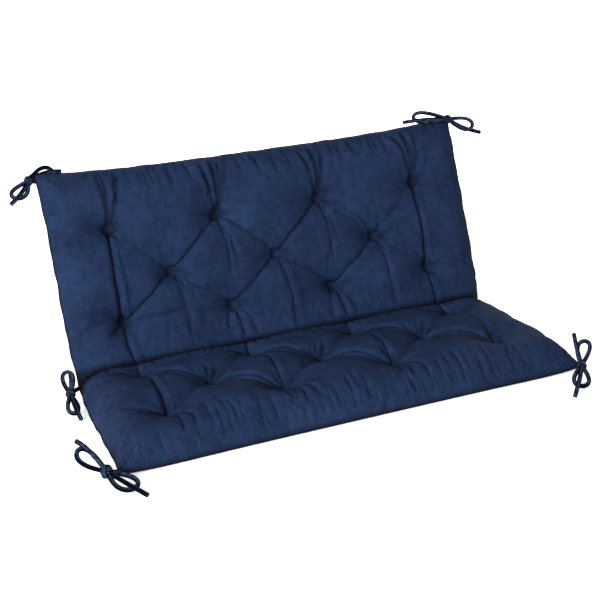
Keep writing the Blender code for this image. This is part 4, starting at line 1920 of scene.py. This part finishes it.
def bows(form: CushionForm) -> Iterator[Bow]:
    """The six bows, two on the back's corners, two at the fold and two at the front.

    Args:
        form: the cushion's surface.

    Yields:
        Each bow, with its knot and its straps' vectors.
    """
    top, front = form.back_length, -form.seat_depth
    yield Bow(
        "tie_back_left", -1, top, (-0.618, 0.195, 0.533),
        Strap(
            (0.068, 0.020, 0.010), (-0.011, -0.020, 0.023),
            (0.085, -0.002, 0.014), (0, 0.016, 0.004),
        ),
        Strap(
            (-0.042, -0.026, -0.034), (-0.017, -0.003, 0.008),
            (-0.056, -0.034, -0.046), (0.003, 0, -0.003),
        ),
    )
    yield Bow(
        "tie_back_right", 1, top, (0.590, 0.166, 0.549),
        Strap((-0.106, 0.012, 0.017), (0.003, 0.005, 0.013), (-0.140, 0.008, 0.006), (0, 0, 0.003)),
        Strap(
            (0.080, -0.003, -0.030), (0.009, 0.006, 0.013),
            (0.102, -0.010, -0.050), (-0.002, 0, -0.005),
        ),
    )
    yield Bow(
        "tie_fold_left", -1, 0.0, (-0.6205, -0.051, 0.030),
        Strap((0.005, 0.046, 0.044), (-0.0135, 0.002, 0), (0.013, 0.048, 0.032), (0.002, 0, 0.004)),
        Strap(
            (-0.007, -0.068, -0.0225), (-0.0125, 0.004, 0),
            (0.002, -0.106, -0.0235), (-0.002, 0, 0.004),
        ),
    )
    yield Bow(
        "tie_fold_right", 1, 0.0, (0.590, 0.052, 0.025),
        Strap(
            (-0.070, 0.052, -0.0175), (0.010, 0.014, 0),
            (-0.100, 0.042, -0.0185), (0, 0.004, 0.005),
        ),
        Strap(
            (-0.016, 0.078, -0.0175), (0.015, 0.002, 0),
            (-0.040, 0.104, -0.0185), (0.004, 0, 0.005),
        ),
    )
    yield Bow(
        "tie_seat_left", -1, front, (-0.632, -0.507, 0.035),
        Strap(
            (-0.046, 0.076, 0.025), (-0.012, -0.020, -0.003),
            (-0.042, 0.096, 0.040), (-0.002, 0, 0.012),
        ),
        Strap(
            (0.048, -0.050, -0.0275), (0.020, 0.014, 0),
            (0.065, -0.093, -0.0285), (-0.002, -0.002, 0.002),
        ),
        Knot(radius=0.0136, band_width=0.0130),
    )
    yield Bow(
        "tie_seat_right", 1, front, (0.587, -0.520, 0.032),
        Strap((0.050, 0.060, 0.035), (-0.014, 0.007, 0), (0.034, 0.084, 0.048), (-0.003, 0, 0.005)),
        Strap(
            (-0.042, -0.060, -0.0245), (-0.014, 0.012, 0),
            (-0.087, -0.098, -0.0255), (0.004, 0, 0.006),
        ),
    )


# ------------------------------------------------------------------------ light and view


@dataclass
class Studio:
    """A pale floor, a white surround, soft lamps and the camera of the photograph.

    A lamp is its name, place, watts and size.
    """

    camera_at: Point = (-1.0076, -2.5774, 1.2086)
    azimuth: float = math.radians(20.988)
    elevation: float = math.radians(20.05)
    roll: float = math.radians(-3.301)
    lens: float = 68.07
    sensor: float = 36.0
    floor_half: float = 20.0
    floor_level: float = -0.0005
    floor_colour: Point = (0.80, 0.80, 0.80)
    floor_rough: float = 0.9
    floor_glow: float = 0.50
    surround: float = 0.68
    lit_at: Point = (0.0, 0.0, 0.25)
    lamps: tuple[tuple[str, Point, float, float], ...] = (
        ("key lamp", (-4.5, -3.0, 2.4), 655.0, 1.8),
        ("fill lamp", (-0.6, -3.8, 0.9), 60.0, 2.0),
        ("rear lamp", (1.6, 4.0, 1.6), 160.0, 2.4),
    )

    def build(self) -> None:
        """Adds the camera, the floor, the surround and the lamps."""
        self.place_camera()
        self.lay_floor()
        self.light()

    def place_camera(self) -> None:
        """Looks along the azimuth, down by the elevation, rolled about the view."""
        sin_a, cos_a = math.sin(self.azimuth), math.cos(self.azimuth)
        sin_e, cos_e = math.sin(self.elevation), math.cos(self.elevation)
        right = Vector((cos_a, -sin_a, 0.0))
        ahead = Vector((sin_a * cos_e, cos_a * cos_e, -sin_e))
        up = right.cross(ahead)
        tilted = right * math.cos(self.roll) + up * math.sin(self.roll)
        risen = up * math.cos(self.roll) - right * math.sin(self.roll)
        lens = bpy.data.cameras.new("camera")
        lens.lens, lens.sensor_width = self.lens, self.sensor
        camera = bpy.data.objects.new("camera", lens)
        turned = Matrix((tilted, risen, -ahead)).transposed().to_4x4()
        camera.matrix_world = Matrix.Translation(self.camera_at) @ turned
        bpy.context.scene.collection.objects.link(camera)
        bpy.context.scene.camera = camera

    def lay_floor(self) -> None:
        """A wide level floor, half a millimetre under the cushion."""
        ways = ((-1, -1), (1, -1), (1, 1), (-1, 1))
        half, low = self.floor_half, self.floor_level
        points = np.array([(x * half, y * half, low) for x, y in ways])
        floor = mesh_object("floor", points, [np.arange(4)[None]])
        finish = Graph("pale floor").finish(
            Base_Color=(*self.floor_colour, 1.0),
            Roughness=self.floor_rough,
            Emission_Color=(1.0, 1.0, 1.0, 1.0),
            Emission_Strength=self.floor_glow,
        )
        floor.data.materials.append(finish)

    def light(self) -> None:
        """A white surround and three wide soft lamps."""
        scene = bpy.context.scene
        scene.view_settings.view_transform = "Standard"
        world = bpy.data.worlds.new("surround")
        world.use_nodes = True
        sky = world.node_tree.nodes["Background"]
        sky.inputs["Color"].default_value = (1.0, 1.0, 1.0, 1.0)
        sky.inputs["Strength"].default_value = self.surround
        scene.world = world
        for lamp in self.lamps:
            self.lamp(*lamp)

    def lamp(self, name: str, place: tuple, watts: float, size: float) -> None:
        """A square lamp turned to the cushion.

        Args:
            name: the lamp's name.
            place: its middle.
            watts: its power.
            size: its side.
        """
        data = bpy.data.lights.new(name, "AREA")
        data.energy, data.size = watts, size
        lamp = bpy.data.objects.new(name, data)
        lamp.location = place
        towards = Vector(self.lit_at) - Vector(place)
        lamp.rotation_euler = towards.to_track_quat("-Z", "Y").to_euler()
        bpy.context.scene.collection.objects.link(lamp)


# ------------------------------------------------------------------------------- the set


def dress() -> None:
    """Builds the studio, the cushion and its ties, and hands them to the frame."""
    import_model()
    Studio().build()
    cushion = Cushion().build()
    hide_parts("cushion")
    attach(cushion, "root")
    log.info("cushion: %d faces", len(cushion.data.polygons))
    form = CushionForm()
    tape = FoldedTape("navy tape").material()
    for bow in bows(form):
        bow.build(form, tape)


if __name__ == "__main__":
    logging.basicConfig(level=logging.INFO, format="%(name)s: %(message)s")
    dress()
